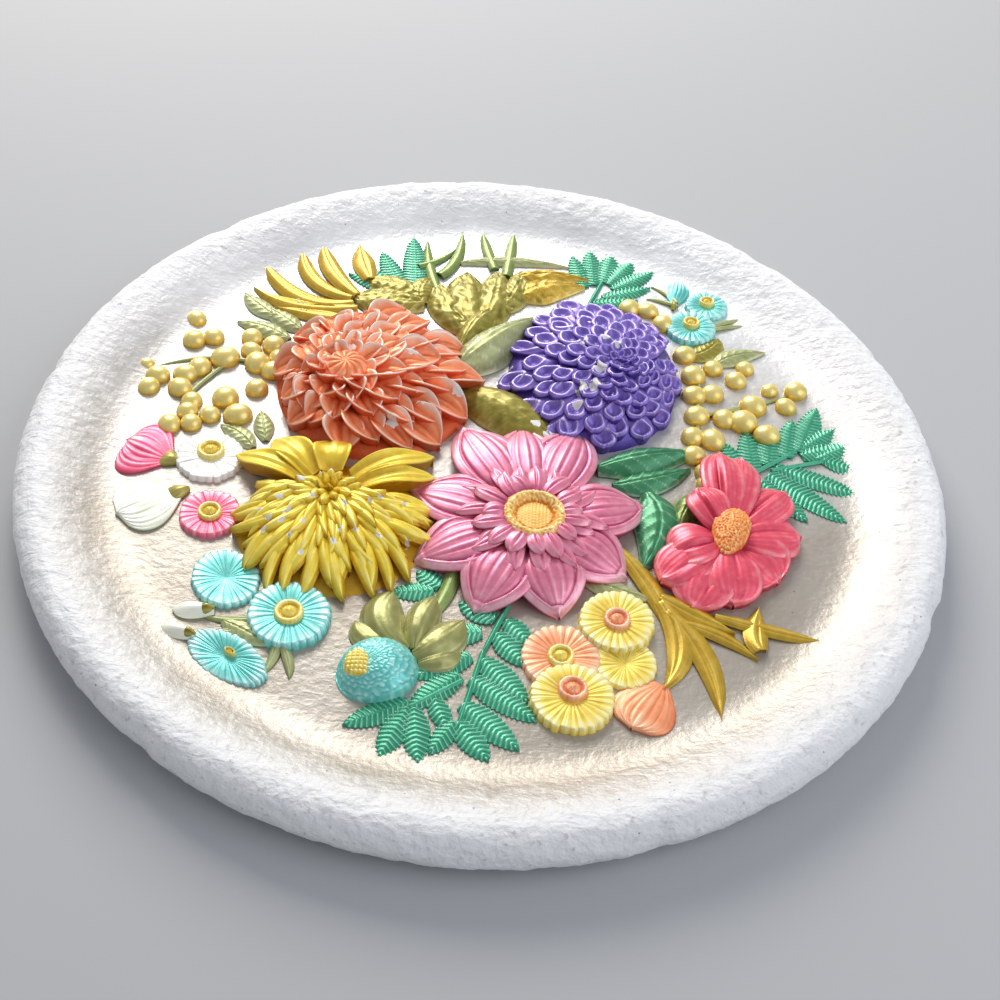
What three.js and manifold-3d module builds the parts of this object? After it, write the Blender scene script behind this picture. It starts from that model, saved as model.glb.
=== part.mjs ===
// Decorative wall plaque: a round plaster plate cast in one piece with a bouquet in high relief.
// Millimetres. It is laid out lying on its back, with x to the right, y up the plate and z out
// of the wall, and at the end it is stood up against the wall plane Y = 0, facing -Y.
import * as THREE from 'three';
import { mergeVertices } from 'three/addons/utils/BufferGeometryUtils.js';
import Module from 'manifold-3d';

const wasm = await Module();
wasm.setup();

// ---- Driving dimensions ---------------------------------------------------------------
const RADIUS = 165;          // of the plate, over the rim
const BACK_RADIUS = 152;     // of the flat back that lies against the wall
const RIM_HEIGHT = 18;       // from the wall to the crest of the rim
const RIM_CREST = 157;       // radius of that crest
const FACE = 8.5;            // thickness of the plate where its face is flat
const FACE_RADIUS = 118;     // where the flat face starts to rise into the rim
const PLATE_SIDES = 48;
const ROOT = 4;              // every raised form starts this high, inside the plate
const LOW = FACE + 1.6;      // leaves, ferns and blades that hug the face
const MERGE = 1e-4;
const RIGHT_ANGLE = Math.PI / 2;
const TURN = 2 * Math.PI;

// Half-width of a form along its length, as shares of its greatest half-width
const ROUNDED = [0.5, 0.94, 1, 0.42];
const BLADE = [0.35, 1, 0.8, 0.08];
const STRIP = [1, 1];
const FAN = [0.16, 0.8, 0.95];
const LEAFLET = [0.5, 1, 0.12];
const LIP = 0.04;            // a petal's lip and its hollow, as shares of the way to the next row
const HOLLOW = 0.5;

// ---- Blooms ---------------------------------------------------------------------------
// A bloom spreads from its axis to an oval foot, whose middle lies off the axis where the
// bloom leans. Spread runs from 0 at the axis to 1 at the foot's edge. Each row of petals is
// [petal count, turn as a share of one petal, spread at the tips, spread at the notches].
// Every row of a bloom divides the same number of points round its axis.
const ORANGE = {
  axis: [-54, 26], foot: [-42.5, 35], reach: [42, 45], top: 24, edge: 10.5, points: 28,
  step: 2.2, lift: 1.4, crease: -1.6,
  rows: [[14, 0, 1, 0.86], [14, 0.5, 0.8, 0.66], [14, 0, 0.6, 0.47], [14, 0.5, 0.41, 0.29]],
  heart: [[0.22, -1.5], [0.2, 2], [0.1, 4]],
};
const PURPLE = {
  axis: [48, 41], foot: [37, 50], reach: [37, 46], top: 27, edge: 10.5, points: 28,
  step: 2.6, lift: 1.2, crease: -2.6,
  rows: [[14, 0, 1, 0.9], [14, 0.5, 0.84, 0.74], [14, 0, 0.68, 0.58], [14, 0.5, 0.52, 0.42],
    [14, 0, 0.37, 0.28]],
  heart: [[0.1, 1.2]],
};
const YELLOW = {
  axis: [-53, -33], foot: [-50, -41], reach: [38, 35], top: 20, edge: 10, points: 32,
  step: 2.2, lift: 0.4, crease: 0.6,
  rows: [[16, 0, 1, 0.82], [16, 0.5, 0.78, 0.6], [16, 0, 0.57, 0.4], [16, 0.5, 0.37, 0.22]],
  heart: [[0.1, 1]],
};
const PINK = {
  axis: [18, -34], foot: [16, -31], reach: [41, 42], top: 17, edge: 10.5, points: 36,
  step: 2.6, lift: 1, crease: -1.8,
  rows: [[9, 0.4, 1, 0.76], [18, 0, 0.62, 0.48]],
  heart: [[0.25, 0]],
};
const RED = {
  axis: [86, -37], foot: [85, -28], reach: [25.5, 36], top: 14, edge: 11, points: 32,
  step: 2.4, lift: 1.2, crease: -2.4,
  rows: [[8, 0.3, 1, 0.76]],
  heart: [[0.2, 0]],
};

const PINK_DISC = { outer: 12.5, crest: 9.5, well: 6, height: 3, depth: 1.6 };
const RED_CONE = { reach: [6.5, 10.5], rise: 5 };

// Broad upper petals of the yellow bloom: root, tip, width
const YELLOW_SAILS = [
  [[-64, -20], [-86, -10], 9],
  [[-60, -15], [-73, -3], 10],
  [[-53, -14], [-53, -3], 11],
  [[-38, -17], [-19, -8], 7],
  [[-37, -23], [-19, -17], 6],
];

// ---- Small flowers --------------------------------------------------------------------
// Open daisies: centre x, y, radius, radius of the eye
const DAISIES = [
  [-98, -12, 12.5, 4.5], [-93, -37, 11, 4], [-82.5, -66, 12, 4], [-59.5, -80, 14, 5], [-76, -100, 12, 4],
  [84, 97, 8.7, 3], [77, 82, 10, 3.5], [47, -72, 13, 4.5], [29, -88, 14, 4.5], [33, -104, 13, 5],
];
// Flowers seen from the side: apex, direction the petals open to, length, greatest width
const SIDE_FLOWERS = [
  [[-112, -15], 2.75, 15, 26], [[-107, -30], 3.7, 19, 24], [[62, -95], 4.15, 24, 22], [[72, 99], 1.4, 12, 9],
];
// Berries and small buds: centre x, y, radius
const BERRIES = [
  [-117, 63.5, 3.8], [-115.5, 51, 4.5], [-108.5, 53.5, 4.2], [-102, 42, 5.2], [-94, 55, 4.2], [-93, 47.5, 4],
  [-85, 51.5, 4.5], [-89.5, 40.5, 5], [-82, 44.5, 4], [-83, 37, 4.5], [-110.5, 35.5, 4.5], [-115, 31, 4.7],
  [-130.5, 35.5, 2.8], [-125, 29.5, 4.3], [-127, 23, 4], [-115.5, 23.5, 4.5], [-87.5, 26.5, 4.3], [-98, 20, 5],
  [-110, 17, 4], [-110.5, 11.5, 4], [-102, 10.5, 4], [-92, 11.5, 5], [-115.5, 4, 4.2], [-108, 5.5, 4],
  [52.5, 92, 4.5], [60, 91.5, 4], [66, 84, 4.5], [74, 66, 4.5], [85, 59.5, 4], [97.5, 61, 3.7],
  [93.5, 53.5, 4.3], [77, 54, 5], [84, 44.5, 4.5], [77, 43, 4.5], [106.5, 49.5, 3.3], [116.5, 50, 4.5],
  [112, 41, 4], [99.3, 39.5, 5], [77.5, 31.5, 4.7], [88, 31, 4.5], [95, 30, 5.5], [103.5, 24, 4.8],
  [75.5, 20, 4.5], [83, 19, 4.8], [75.5, 10, 4.5], [79.5, 2, 4], [79.5, -4, 3.5],
  [-93, -82.5, 3.5], [-95.5, -90, 3.5], [80, 118, 2.6], [84, 112, 2.6],
];

// ---- Leaves and stems -----------------------------------------------------------------
// Each is a spine of points in the plane of the plate with a width and a crest height.
const LEAVES = [
  // olive leaves around and between the large blooms
  [[[-44, 84], [-50, 92], [-62, 97]], 15, 13], [[[-30, 80], [-34, 92], [-27, 99]], 16, 13],
  [[[-12, 66], [-14, 88], [-10, 108]], 24, 14], [[[4, 82], [0, 96], [6, 112]], 15, 13],
  [[[12, 92], [22, 99], [35, 106]], 14, 15], [[[9, 112], [18, 115], [28, 118]], 6, 12],
  [[[-12, 46], [2, 58], [15, 72]], 17, 20], [[[-12, 32], [6, 24], [25, 10]], 20, 18],
  // green leaves right of the pink bloom
  [[[44, 2], [60, 6], [75, 10]], 11, 14], [[[52, -8], [62, -2], [70, 6]], 12, 12],
  [[[56, -14], [60, -30], [58, -46]], 16, 13], [[[74, -6], [70, -18], [66, -28]], 9, 12],
  // calyx of the turquoise bud
  [[[-8, -66], [-18, -76], [-38, -84]], 8, 12], [[[-12, -64], [-10, -82], [-12, -97]], 8, 12],
  [[[-8, -66], [-4, -78], [-4, -90]], 6, 12],
  // pale leaflets at the left and right of the bouquet
  [[[-76, 62], [-84, 66], [-92, 72]], 8, LOW], [[[-80, 56], [-90, 60], [-100, 64]], 8, LOW],
  [[[-86, 70], [-94, 76], [-100, 80]], 7, LOW], [[[-96, 50], [-102, 58], [-108, 62]], 7, LOW],
  [[[-84, -4], [-88, 3], [-94, 8]], 6, LOW], [[[86, 64], [94, 70], [104, 74]], 8, LOW],
  [[[78, 68], [83, 73], [86, 80]], 7, LOW], [[[36, -54], [46, -57], [56, -60]], 6, LOW],
];
const BLADES = [
  // ochre blades at the upper left
  [[[-60, 80], [-80, 93], [-102, 112]], 6], [[[-62, 78], [-78, 98], [-84, 121]], 6],
  [[[-60, 80], [-70, 98], [-76, 123]], 7], [[[-53, 92], [-57, 104], [-60, 117]], 7],
  [[[-58, 75], [-80, 75], [-98, 82]], 7], [[[-62, 66], [-72, 68], [-86, 70]], 8],
  // ochre blades and pod at the lower right
  [[[50, -42], [58, -58], [65, -74]], 6], [[[64, -72], [65, -86], [62, -98]], 7],
  [[[66, -72], [74, -88], [79, -106]], 7], [[[68, -68], [80, -73], [92, -80]], 7],
  [[[94, -78], [92, -70], [94, -60]], 8], [[[74, -63], [84, -62], [94, -64]], 5],
  [[[95, -66], [104, -64], [116, -68]], 4],
];
const FERN_LEAFLETS = [
  // upper left
  [[-40, 96], [-40, 126]], [[-42, 96], [-50, 114]], [[-43, 94], [-54, 104]], [[-44, 92], [-60, 96]],
  // upper right
  [[34, 101], [27, 114]], [[36, 106], [33, 130]], [[41, 108], [43, 133]], [[46, 106], [53, 134]],
  [[49, 102], [60, 118]], [[48, 96], [61, 102]], [[43, 92], [53, 90]],
  // right
  [[89, 4], [88, 16]], [[95, 7], [97, 22]], [[103, 9], [110, 27]], [[111, 12], [123, 37]],
  [[116, 9], [129, 28]], [[120, 5], [142, 25]], [[115, 1], [138, 7]], [[111, -3], [136, -5]],
  [[107, -7], [128, -18]], [[100, -9], [112, -19]],
  // bottom, behind the pink bloom
  [[-24, -98], [-36, -118]], [[-14, -96], [-26, -130]], [[-8, -98], [-13, -132]],
  [[-2, -96], [-4, -126]], [[2, -90], [8, -128]], [[7, -88], [17, -123]], [[11, -84], [23, -112]],
];
const FERN_WIDTH = 9;
const STEMS = [
  [[-32, 126], [-28, 110], [-26, 96]], [[-20, 134], [-19, 122], [-18, 106]], [[-20, 124], [-24, 116], [-28, 108]],
  [[-9, 134], [-7, 126], [-4, 112]], [[3, 134], [3, 118], [0, 106]], [[-8, -60], [-10, -66], [-22, -90]],
  [[-66, -76], [-76, -84], [-93, -84]], [[-68, -78], [-80, -90], [-95, -91]],
];
const STEM_WIDTH = 4;
const BUD = { centre: [-29, -98], length: 30, width: 21, direction: 3.9, crest: 17 };

// ---- Building blocks ------------------------------------------------------------------
// A closed solid through rings of points, each ring counter-clockwise about the way they run.
function loft(rings) {
  const around = rings[0].length;
  const index = [];
  for (let ring = 0; ring + 1 < rings.length; ring++) {
    for (let side = 0; side < around; side++) {
      const a = ring * around + side;
      const b = ring * around + (side + 1) % around;
      index.push(a, b, b + around, a, b + around, a + around);
    }
  }
  const last = (rings.length - 1) * around;
  for (let side = 1; side + 1 < around; side++) {
    index.push(0, side + 1, side);
    index.push(last, last + side, last + side + 1);
  }
  const geometry = new THREE.BufferGeometry();
  geometry.setAttribute('position', new THREE.Float32BufferAttribute(rings.flat(2), 3));
  geometry.setIndex(index);
  return geometry;
}

function toSolid(geometry) {
  geometry.deleteAttribute('normal');
  geometry.deleteAttribute('uv');
  const merged = mergeVertices(geometry, MERGE);
  return new wasm.Manifold(new wasm.Mesh({
    numProp: 3,
    vertProperties: new Float32Array(merged.attributes.position.array),
    triVerts: new Uint32Array(merged.index.array),
  }));
}

const mix = THREE.MathUtils.lerp;

// A ridged or dished form along a spine. Each station is [x, y, half-width, edge height, crest height].
function ridge(stations) {
  const rings = stations.map(([x, y, half, edge, crest], at) => {
    const before = stations[Math.max(at - 1, 0)];
    const after = stations[Math.min(at + 1, stations.length - 1)];
    const along = new THREE.Vector2(after[0] - before[0], after[1] - before[1]).normalize();
    const acrossX = -along.y * half;
    const acrossY = along.x * half;
    return [
      [x + acrossX, y + acrossY, edge],
      [x, y, crest],
      [x - acrossX, y - acrossY, edge],
      [x - acrossX, y - acrossY, ROOT],
      [x + acrossX, y + acrossY, ROOT],
    ];
  });
  return toSolid(loft(rings));
}

// A ridge of the given outline that follows a smooth spine through a few points.
function leaf(spine, width, crest, outline) {
  const curve = new THREE.CatmullRomCurve3(spine.map(([x, y]) => new THREE.Vector3(x, y, 0)));
  const stations = outline.map((share, at) => {
    const point = curve.getPoint(at / (outline.length - 1));
    return [point.x, point.y, share * width / 2, mix(FACE, crest, 0.45), crest];
  });
  return ridge(stations);
}

// Rings stacked outwards from the plate: each is [x, y, x-radius, y-radius, height].
function mound(levels, sides, notch = 0) {
  const rings = levels.map(([x, y, reachX, reachY, height]) => {
    const ring = [];
    for (let side = 0; side < sides; side++) {
      const angle = TURN * side / sides;
      const share = 1 - notch * (side % 2);
      ring.push([x + share * reachX * Math.cos(angle), y + share * reachY * Math.sin(angle), height]);
    }
    return ring;
  });
  return toSolid(loft(rings));
}

// ---- Forms ----------------------------------------------------------------------------
function plate() {
  const profile = [
    [0, 0], [BACK_RADIUS, 0], [161, 3], [RADIUS, 9.5], [163, 14.5], [RIM_CREST, RIM_HEIGHT],
    [150.5, 15.8], [141, 11], [FACE_RADIUS, FACE], [0, FACE],
  ];
  const points = profile.map(([r, z]) => new THREE.Vector2(r, z));
  const lathe = new THREE.LatheGeometry(points, PLATE_SIDES);
  lathe.rotateX(RIGHT_ANGLE);
  return toSolid(lathe);
}

function bloomPoint(bloom, spread, angle) {
  const x = mix(bloom.axis[0], bloom.foot[0], spread) + spread * bloom.reach[0] * Math.cos(angle);
  const y = mix(bloom.axis[1], bloom.foot[1], spread) + spread * bloom.reach[1] * Math.sin(angle);
  return [x, y];
}

// The bloom's dome: flat on top and steeper towards the foot.
function bloomHeight(bloom, spread) {
  return mix(bloom.top, bloom.edge, spread ** 1.6);
}

// How far each point of a row's edge has spread, and how much of a petal's tip is in it.
function petalEdge(bloom, [count, turn, tip, notch]) {
  return Array.from({ length: bloom.points }, (_, at) => {
    const across = (at * count / bloom.points + turn) % 1;
    const bulge = Math.sin(Math.PI * across) ** 0.8;
    return { spread: mix(notch, tip, bulge), bulge };
  });
}

function bloomRing(bloom, edge, rise) {
  return edge.map(({ spread, bulge }, at) => [
    ...bloomPoint(bloom, spread, TURN * at / bloom.points),
    bloomHeight(bloom, spread) + rise(bulge),
  ]);
}

function between(outer, inner, share) {
  return outer.map(({ spread, bulge }, at) => ({ spread: mix(spread, inner[at].spread, share), bulge }));
}

// The whole bloom as one stack of rings: under each row's edge, on its edge, in its petals,
// and at last round its heart.
function bloom(shape) {
  const edges = shape.rows.map((row) => petalEdge(shape, row));
  const hearts = shape.heart.map(([spread]) => edges[0].map(() => ({ spread, bulge: 0 })));
  const rings = [bloomRing(shape, edges[0], () => 0).map(([x, y]) => [x, y, ROOT])];
  edges.forEach((edge, row) => {
    const next = edges[row + 1] ?? hearts[0];
    if (row > 0) rings.push(bloomRing(shape, edge, () => -shape.step));
    rings.push(bloomRing(shape, between(edge, next, LIP), (bulge) => shape.lift * bulge));
    rings.push(bloomRing(shape, between(edge, next, HOLLOW), (bulge) => shape.crease * bulge));
  });
  shape.heart.forEach(([, rise], at) => rings.push(bloomRing(shape, hearts[at], () => rise)));
  return toSolid(loft(rings));
}

// The pink bloom's seed disc: a raised ring round a shallow well.
function seedDisc() {
  const [x, y] = PINK.axis;
  const { outer, crest, well, height, depth } = PINK_DISC;
  const top = PINK.top + height;
  return mound([
    [x, y, outer, outer, ROOT], [x, y, outer, outer, top - 3], [x, y, crest, crest, top],
    [x, y, well, well, top - depth], [x, y, well / 3, well / 3, top - depth / 2],
  ], 12);
}

function seedCone() {
  const [x, y] = RED.axis;
  const [reachX, reachY] = RED_CONE.reach;
  return mound([
    [x, y, reachX, reachY, ROOT], [x, y, reachX, reachY, RED.top - 1],
    [x, y + 1, reachX * 0.6, reachY * 0.6, RED.top + RED_CONE.rise - 1],
    [x, y + 2, reachX * 0.25, reachY * 0.25, RED.top + RED_CONE.rise],
  ], 8);
}

function daisy([x, y, radius, eye]) {
  return mound([
    [x, y, radius, radius, ROOT], [x, y, radius, radius, FACE + 1.2],
    [x, y, eye * 1.2, eye * 1.2, FACE + 2.2], [x, y, eye * 0.7, eye * 0.7, FACE + 4],
  ], 12, 0.12);
}

function berry([x, y, size]) {
  const radius = size * 0.93;
  return mound([
    [x, y, radius, radius, ROOT], [x, y, radius, radius, FACE + radius * 0.4],
    [x, y, radius * 0.55, radius * 0.55, FACE + radius],
  ], 5);
}

function sideFlower([apex, direction, length, width]) {
  const along = new THREE.Vector2(Math.cos(direction), Math.sin(direction));
  const spine = [0, length / 2, length].map((far) => [apex[0] + along.x * far, apex[1] + along.y * far]);
  return leaf(spine, width, FACE + 3, FAN);
}

function turquoiseBud() {
  const { centre, length, width, direction, crest } = BUD;
  const dx = Math.cos(direction) * length / 2;
  const dy = Math.sin(direction) * length / 2;
  const spine = [[centre[0] - dx, centre[1] - dy], centre, [centre[0] + dx, centre[1] + dy]];
  return leaf(spine, width, crest, ROUNDED);
}

// ---- The whole cast -------------------------------------------------------------------
function plaque() {
  const raised = [
    ...[ORANGE, PURPLE, YELLOW, PINK, RED].map(bloom),
    seedDisc(),
    seedCone(),
    turquoiseBud(),
    ...YELLOW_SAILS.map(([root, tip, width]) => leaf([root, tip], width, 18, LEAFLET)),
    ...DAISIES.map(daisy),
    ...SIDE_FLOWERS.map(sideFlower),
    ...BERRIES.map(berry),
    ...LEAVES.map(([spine, width, crest]) => leaf(spine, width, crest, width < 10 ? LEAFLET : BLADE)),
    ...BLADES.map(([spine, width]) => leaf(spine, width, LOW + 1, BLADE)),
    ...FERN_LEAFLETS.map((spine) => leaf(spine, FERN_WIDTH, LOW, LEAFLET)),
    ...STEMS.map((spine) => leaf(spine, STEM_WIDTH, LOW + 0.5, STRIP)),
  ];
  return raised.reduce((cast, form) => cast.add(form), plate());
}

function toGeometry(solid) {
  const { vertProperties, triVerts } = solid.getMesh();
  const geometry = new THREE.BufferGeometry();
  geometry.setAttribute('position', new THREE.Float32BufferAttribute(vertProperties, 3));
  geometry.setIndex(Array.from(triVerts));
  geometry.computeVertexNormals();
  return geometry;
}

const paintedPlaster = new THREE.MeshStandardMaterial({ color: '#E4E0D8', roughness: 0.45, metalness: 0 });
const mesh = new THREE.Mesh(toGeometry(plaque()), paintedPlaster);
mesh.name = 'plaque';
mesh.rotation.x = RIGHT_ANGLE;

const group = new THREE.Group();
group.add(mesh);

export default group;
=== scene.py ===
# %% [markdown]
# # A painted plaster wall plaque
# The object is one cast of plaster: a round plate with a thick rim, and on its face a bouquet in
# high relief. After casting it was painted by hand in pearly colours. Here the plate and each
# kind of flower get a mesh of their own, because each has its own paint, and all of them ride on
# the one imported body. Sizes are in millimetres on the plate as it lies on its back, with x to the
# right, y up the plate and z out of the wall. One function stands them up against the wall.

# %% Load the frame
import bpy
import bmesh
import random
from math import atan2, cos, exp, hypot, pi, radians, sin
from mathutils import Matrix, Vector, noise


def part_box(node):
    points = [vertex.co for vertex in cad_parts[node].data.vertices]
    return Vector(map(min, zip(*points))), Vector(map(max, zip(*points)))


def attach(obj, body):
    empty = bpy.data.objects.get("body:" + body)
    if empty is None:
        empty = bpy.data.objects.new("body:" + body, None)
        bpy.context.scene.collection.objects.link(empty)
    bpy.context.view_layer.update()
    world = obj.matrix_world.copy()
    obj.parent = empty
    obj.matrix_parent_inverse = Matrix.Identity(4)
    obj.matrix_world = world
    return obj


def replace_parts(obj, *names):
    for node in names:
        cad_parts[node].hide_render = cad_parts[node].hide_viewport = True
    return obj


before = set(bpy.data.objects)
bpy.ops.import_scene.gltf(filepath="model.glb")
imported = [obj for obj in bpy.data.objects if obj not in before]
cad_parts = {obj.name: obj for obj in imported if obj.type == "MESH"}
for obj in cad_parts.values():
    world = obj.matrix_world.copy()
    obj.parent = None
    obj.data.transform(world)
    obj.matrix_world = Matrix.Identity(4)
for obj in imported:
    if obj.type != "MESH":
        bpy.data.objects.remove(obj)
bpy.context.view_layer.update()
MM = 0.001
TURN = 2 * pi

# %% [markdown]
# The plate's radius comes from the frame: it is half the plate's width. The crest of the rim and
# everything on the face are then placed in millimetres.

# %% Sizes of the plate
low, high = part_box("plaque")
RADIUS = (high[0] - low[0]) / 2 / MM
BACK_RADIUS = 152
RIM_CREST = 157
RIM_HEIGHT = 18
FACE = 8.5
COVE_START = 122
LOW = FACE + 1.6
print("radius of the plate, mm", round(RADIUS, 1))


def stand(x, y, z):
    """A point of the lying plate, in mm, as a point of the frame, in metres."""
    return Vector((x, -z, y)) * MM


def mix(a, b, share):
    return a + (b - a) * share


def smooth(share):
    share = min(max(share, 0), 1)
    return share * share * (3 - 2 * share)


# %% [markdown]
# ## Camera
# The plaque is looked at from below and in front, at about 45 degrees to its face, the way one
# looks down at a plate lying on a table. The camera also leans a little to one side. Its place
# is worked out from the distance and the two angles, so it needs no empties or constraints.

# %% Camera
DISTANCE = 0.549
TILT = radians(45.5)
LEAN = radians(-4.75)
AIM_RIGHT, AIM_UP = 0.0055, -0.0086
LENS_MM, SENSOR_MM = 54, 36

forward = Vector((0, sin(TILT), cos(TILT)))
level_right = Vector((1, 0, 0))
level_up = Vector((0, -cos(TILT), sin(TILT)))
right = level_right * cos(LEAN) - level_up * sin(LEAN)
up = level_right * sin(LEAN) + level_up * cos(LEAN)
eye = -forward * DISTANCE
look = (right * AIM_RIGHT + up * AIM_UP - eye).normalized()
side = look.cross(up).normalized()

camera_data = bpy.data.cameras.new("camera")
camera_data.lens = LENS_MM
camera_data.sensor_width = SENSOR_MM
camera = bpy.data.objects.new("camera", camera_data)
camera.matrix_world = Matrix.Translation(eye) @ Matrix((side, side.cross(look), -look)).transposed().to_4x4()
bpy.context.scene.collection.objects.link(camera)
bpy.context.scene.camera = camera
print("camera at", tuple(round(c, 3) for c in eye))

# %% [markdown]
# ## Wall and light
# A pale wall lies just behind the flat back. Its material is see-through from behind, so the
# plain back of the plaque can be looked at too. Two large soft lights in front, one strong and
# one weak, give the pearly paint broad highlights and leave the hollows soft.

# %% Helper for materials
def hex_color(code):
    """An sRGB hex value as linear red, green, blue, alpha."""
    values = [int(code[at:at + 2], 16) / 255 for at in (1, 3, 5)]
    return tuple(v / 12.92 if v <= 0.04045 else ((v + 0.055) / 1.055) ** 2.4 for v in values) + (1,)


def add_node(tree, kind, settings=None, links=None):
    """One node, with its settings and the sockets that feed it."""
    node = tree.nodes.new(kind)
    for name, value in (settings or {}).items():
        if isinstance(name, int) or name in node.inputs:
            node.inputs[name].default_value = value
        else:
            setattr(node, name, value)
    for name, source in (links or {}).items():
        tree.links.new(source, node.inputs[name])
    return node


def new_material(name):
    material = bpy.data.materials.new(name)
    material.use_nodes = True
    material.node_tree.nodes.clear()
    return material


# %% Wall and lights
WALL_SIZE = 6
WALL_GAP = 0.0006


def wall_paint():
    material = new_material("wall_paint")
    tree = material.node_tree
    facing = add_node(tree, "ShaderNodeNewGeometry")
    paint = add_node(tree, "ShaderNodeBsdfPrincipled", {"Base Color": hex_color("#B4B6B8"), "Roughness": 0.8})
    clear = add_node(tree, "ShaderNodeBsdfTransparent")
    both = add_node(tree, "ShaderNodeMixShader", None, {0: facing.outputs["Backfacing"], 1: paint.outputs[0],
                                                        2: clear.outputs[0]})
    add_node(tree, "ShaderNodeOutputMaterial", None, {"Surface": both.outputs[0]})
    return material


def wall():
    bm = bmesh.new()
    bmesh.ops.create_grid(bm, x_segments=1, y_segments=1, size=WALL_SIZE / 2)
    bmesh.ops.rotate(bm, verts=bm.verts, matrix=Matrix.Rotation(pi / 2, 3, "X"))
    bmesh.ops.translate(bm, verts=bm.verts, vec=(0, WALL_GAP, 0))
    mesh = bpy.data.meshes.new("wall")
    bm.to_mesh(mesh)
    bm.free()
    mesh.materials.append(wall_paint())
    panel = bpy.data.objects.new("wall", mesh)
    bpy.context.scene.collection.objects.link(panel)


def soft_light(name, place, size, power, color="#FFFFFF"):
    data = bpy.data.lights.new(name, "AREA")
    data.shape = "SQUARE"
    data.size = size
    data.energy = power
    data.color = hex_color(color)[:3]
    light = bpy.data.objects.new(name, data)
    light.location = place
    light.rotation_euler = (-Vector(place)).to_track_quat("-Z", "Y").to_euler()
    bpy.context.scene.collection.objects.link(light)


wall()
soft_light("key", (-0.3, -0.7, 1.0), 0.7, 15.5, "#FFFAF4")
soft_light("fill", (0.8, -0.7, -0.25), 0.9, 4.5, "#F3F6FF")
soft_light("behind", (0.5, 1.0, 0.5), 0.8, 6)
world = bpy.data.worlds.new("studio")
world.use_nodes = True
world.node_tree.nodes["Background"].inputs["Color"].default_value = hex_color("#E9ECF2")
world.node_tree.nodes["Background"].inputs["Strength"].default_value = 0.48
bpy.context.scene.world = world
bpy.context.scene.view_settings.view_transform = "Standard"

# %% [markdown]
# ## Paints
# All the paints are the same kind: a pearly craft paint brushed thinly over white plaster. Each
# mesh carries a number called tone, from 0 in a hollow to 1 on a ridge, and the material turns it
# into a dark, a middle and a light colour. The dark colour is painted shade in the hollows and
# under the petals. The light colour is partly worn paint and partly a painted highlight on the
# ridges. A second number, chip, says where the paint has broken off and the white plaster shows.
# Pearl pigment is mica, which is why the paint is slightly metallic.

# %% Paints
PLASTER = "#F2F1EC"


def pearl_paint(name, dark, middle, light, roughness=0.4, pearl=0.3, mottle_mm=3.0):
    """Pearly craft paint over plaster."""
    material = new_material(name)
    tree = material.node_tree
    place = add_node(tree, "ShaderNodeTexCoord").outputs["Object"]
    tone = add_node(tree, "ShaderNodeAttribute", {"attribute_name": "tone"}).outputs["Fac"]
    chip = add_node(tree, "ShaderNodeAttribute", {"attribute_name": "chip"}).outputs["Fac"]
    mottle = add_node(tree, "ShaderNodeTexNoise", {"Scale": 1 / (mottle_mm * MM), "Detail": 3.0}, {"Vector": place})
    grain = add_node(tree, "ShaderNodeTexNoise", {"Scale": 1 / (0.7 * MM), "Detail": 2.0}, {"Vector": place})
    shift = add_node(tree, "ShaderNodeMath", {"operation": "MULTIPLY_ADD", 1: 0.5}, {0: mottle.outputs["Fac"], 2: tone})
    level = add_node(tree, "ShaderNodeMath", {"operation": "SUBTRACT", 1: 0.25}, {0: shift.outputs[0]})
    # Dark end of the ramp: painted shade in hollows and under petals. Light end: partly worn paint, partly painted
    # highlight on ridges.
    ramp = add_node(tree, "ShaderNodeValToRGB", None, {"Fac": level.outputs[0]})
    for stop, (position, code) in enumerate([(0.02, dark), (0.5, middle), (0.98, light)]):
        if stop == 2:
            ramp.color_ramp.elements.new(position)
        ramp.color_ramp.elements[stop].position = position
        ramp.color_ramp.elements[stop].color = hex_color(code)
    ragged = add_node(tree, "ShaderNodeMath", {"operation": "MULTIPLY_ADD", 1: 0.7}, {0: grain.outputs["Fac"], 2: chip})
    bare = add_node(tree, "ShaderNodeMapRange", {"From Min": 0.82, "From Max": 0.9}, {"Value": ragged.outputs[0]})
    color = add_node(tree, "ShaderNodeMix", {"data_type": "RGBA"})
    color.inputs[7].default_value = hex_color(PLASTER)
    tree.links.new(bare.outputs[0], color.inputs[0])
    tree.links.new(ramp.outputs[0], color.inputs[6])
    gloss = add_node(tree, "ShaderNodeMapRange", {"To Min": roughness, "To Max": 0.85}, {"Value": bare.outputs[0]})
    mica = add_node(tree, "ShaderNodeMapRange", {"To Min": pearl, "To Max": 0.0}, {"Value": bare.outputs[0]})
    bump = add_node(tree, "ShaderNodeBump", {"Strength": 0.25, "Distance": 0.15 * MM}, {"Height": grain.outputs["Fac"]})
    paint = add_node(tree, "ShaderNodeBsdfPrincipled", {"IOR": 1.5},
                     {"Base Color": color.outputs[2], "Roughness": gloss.outputs[0], "Metallic": mica.outputs[0],
                      "Normal": bump.outputs[0]})
    add_node(tree, "ShaderNodeOutputMaterial", None, {"Surface": paint.outputs[0]})
    return material


# In each paint the dark colour is painted shade, and the light colour is partly a painted highlight.
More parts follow.
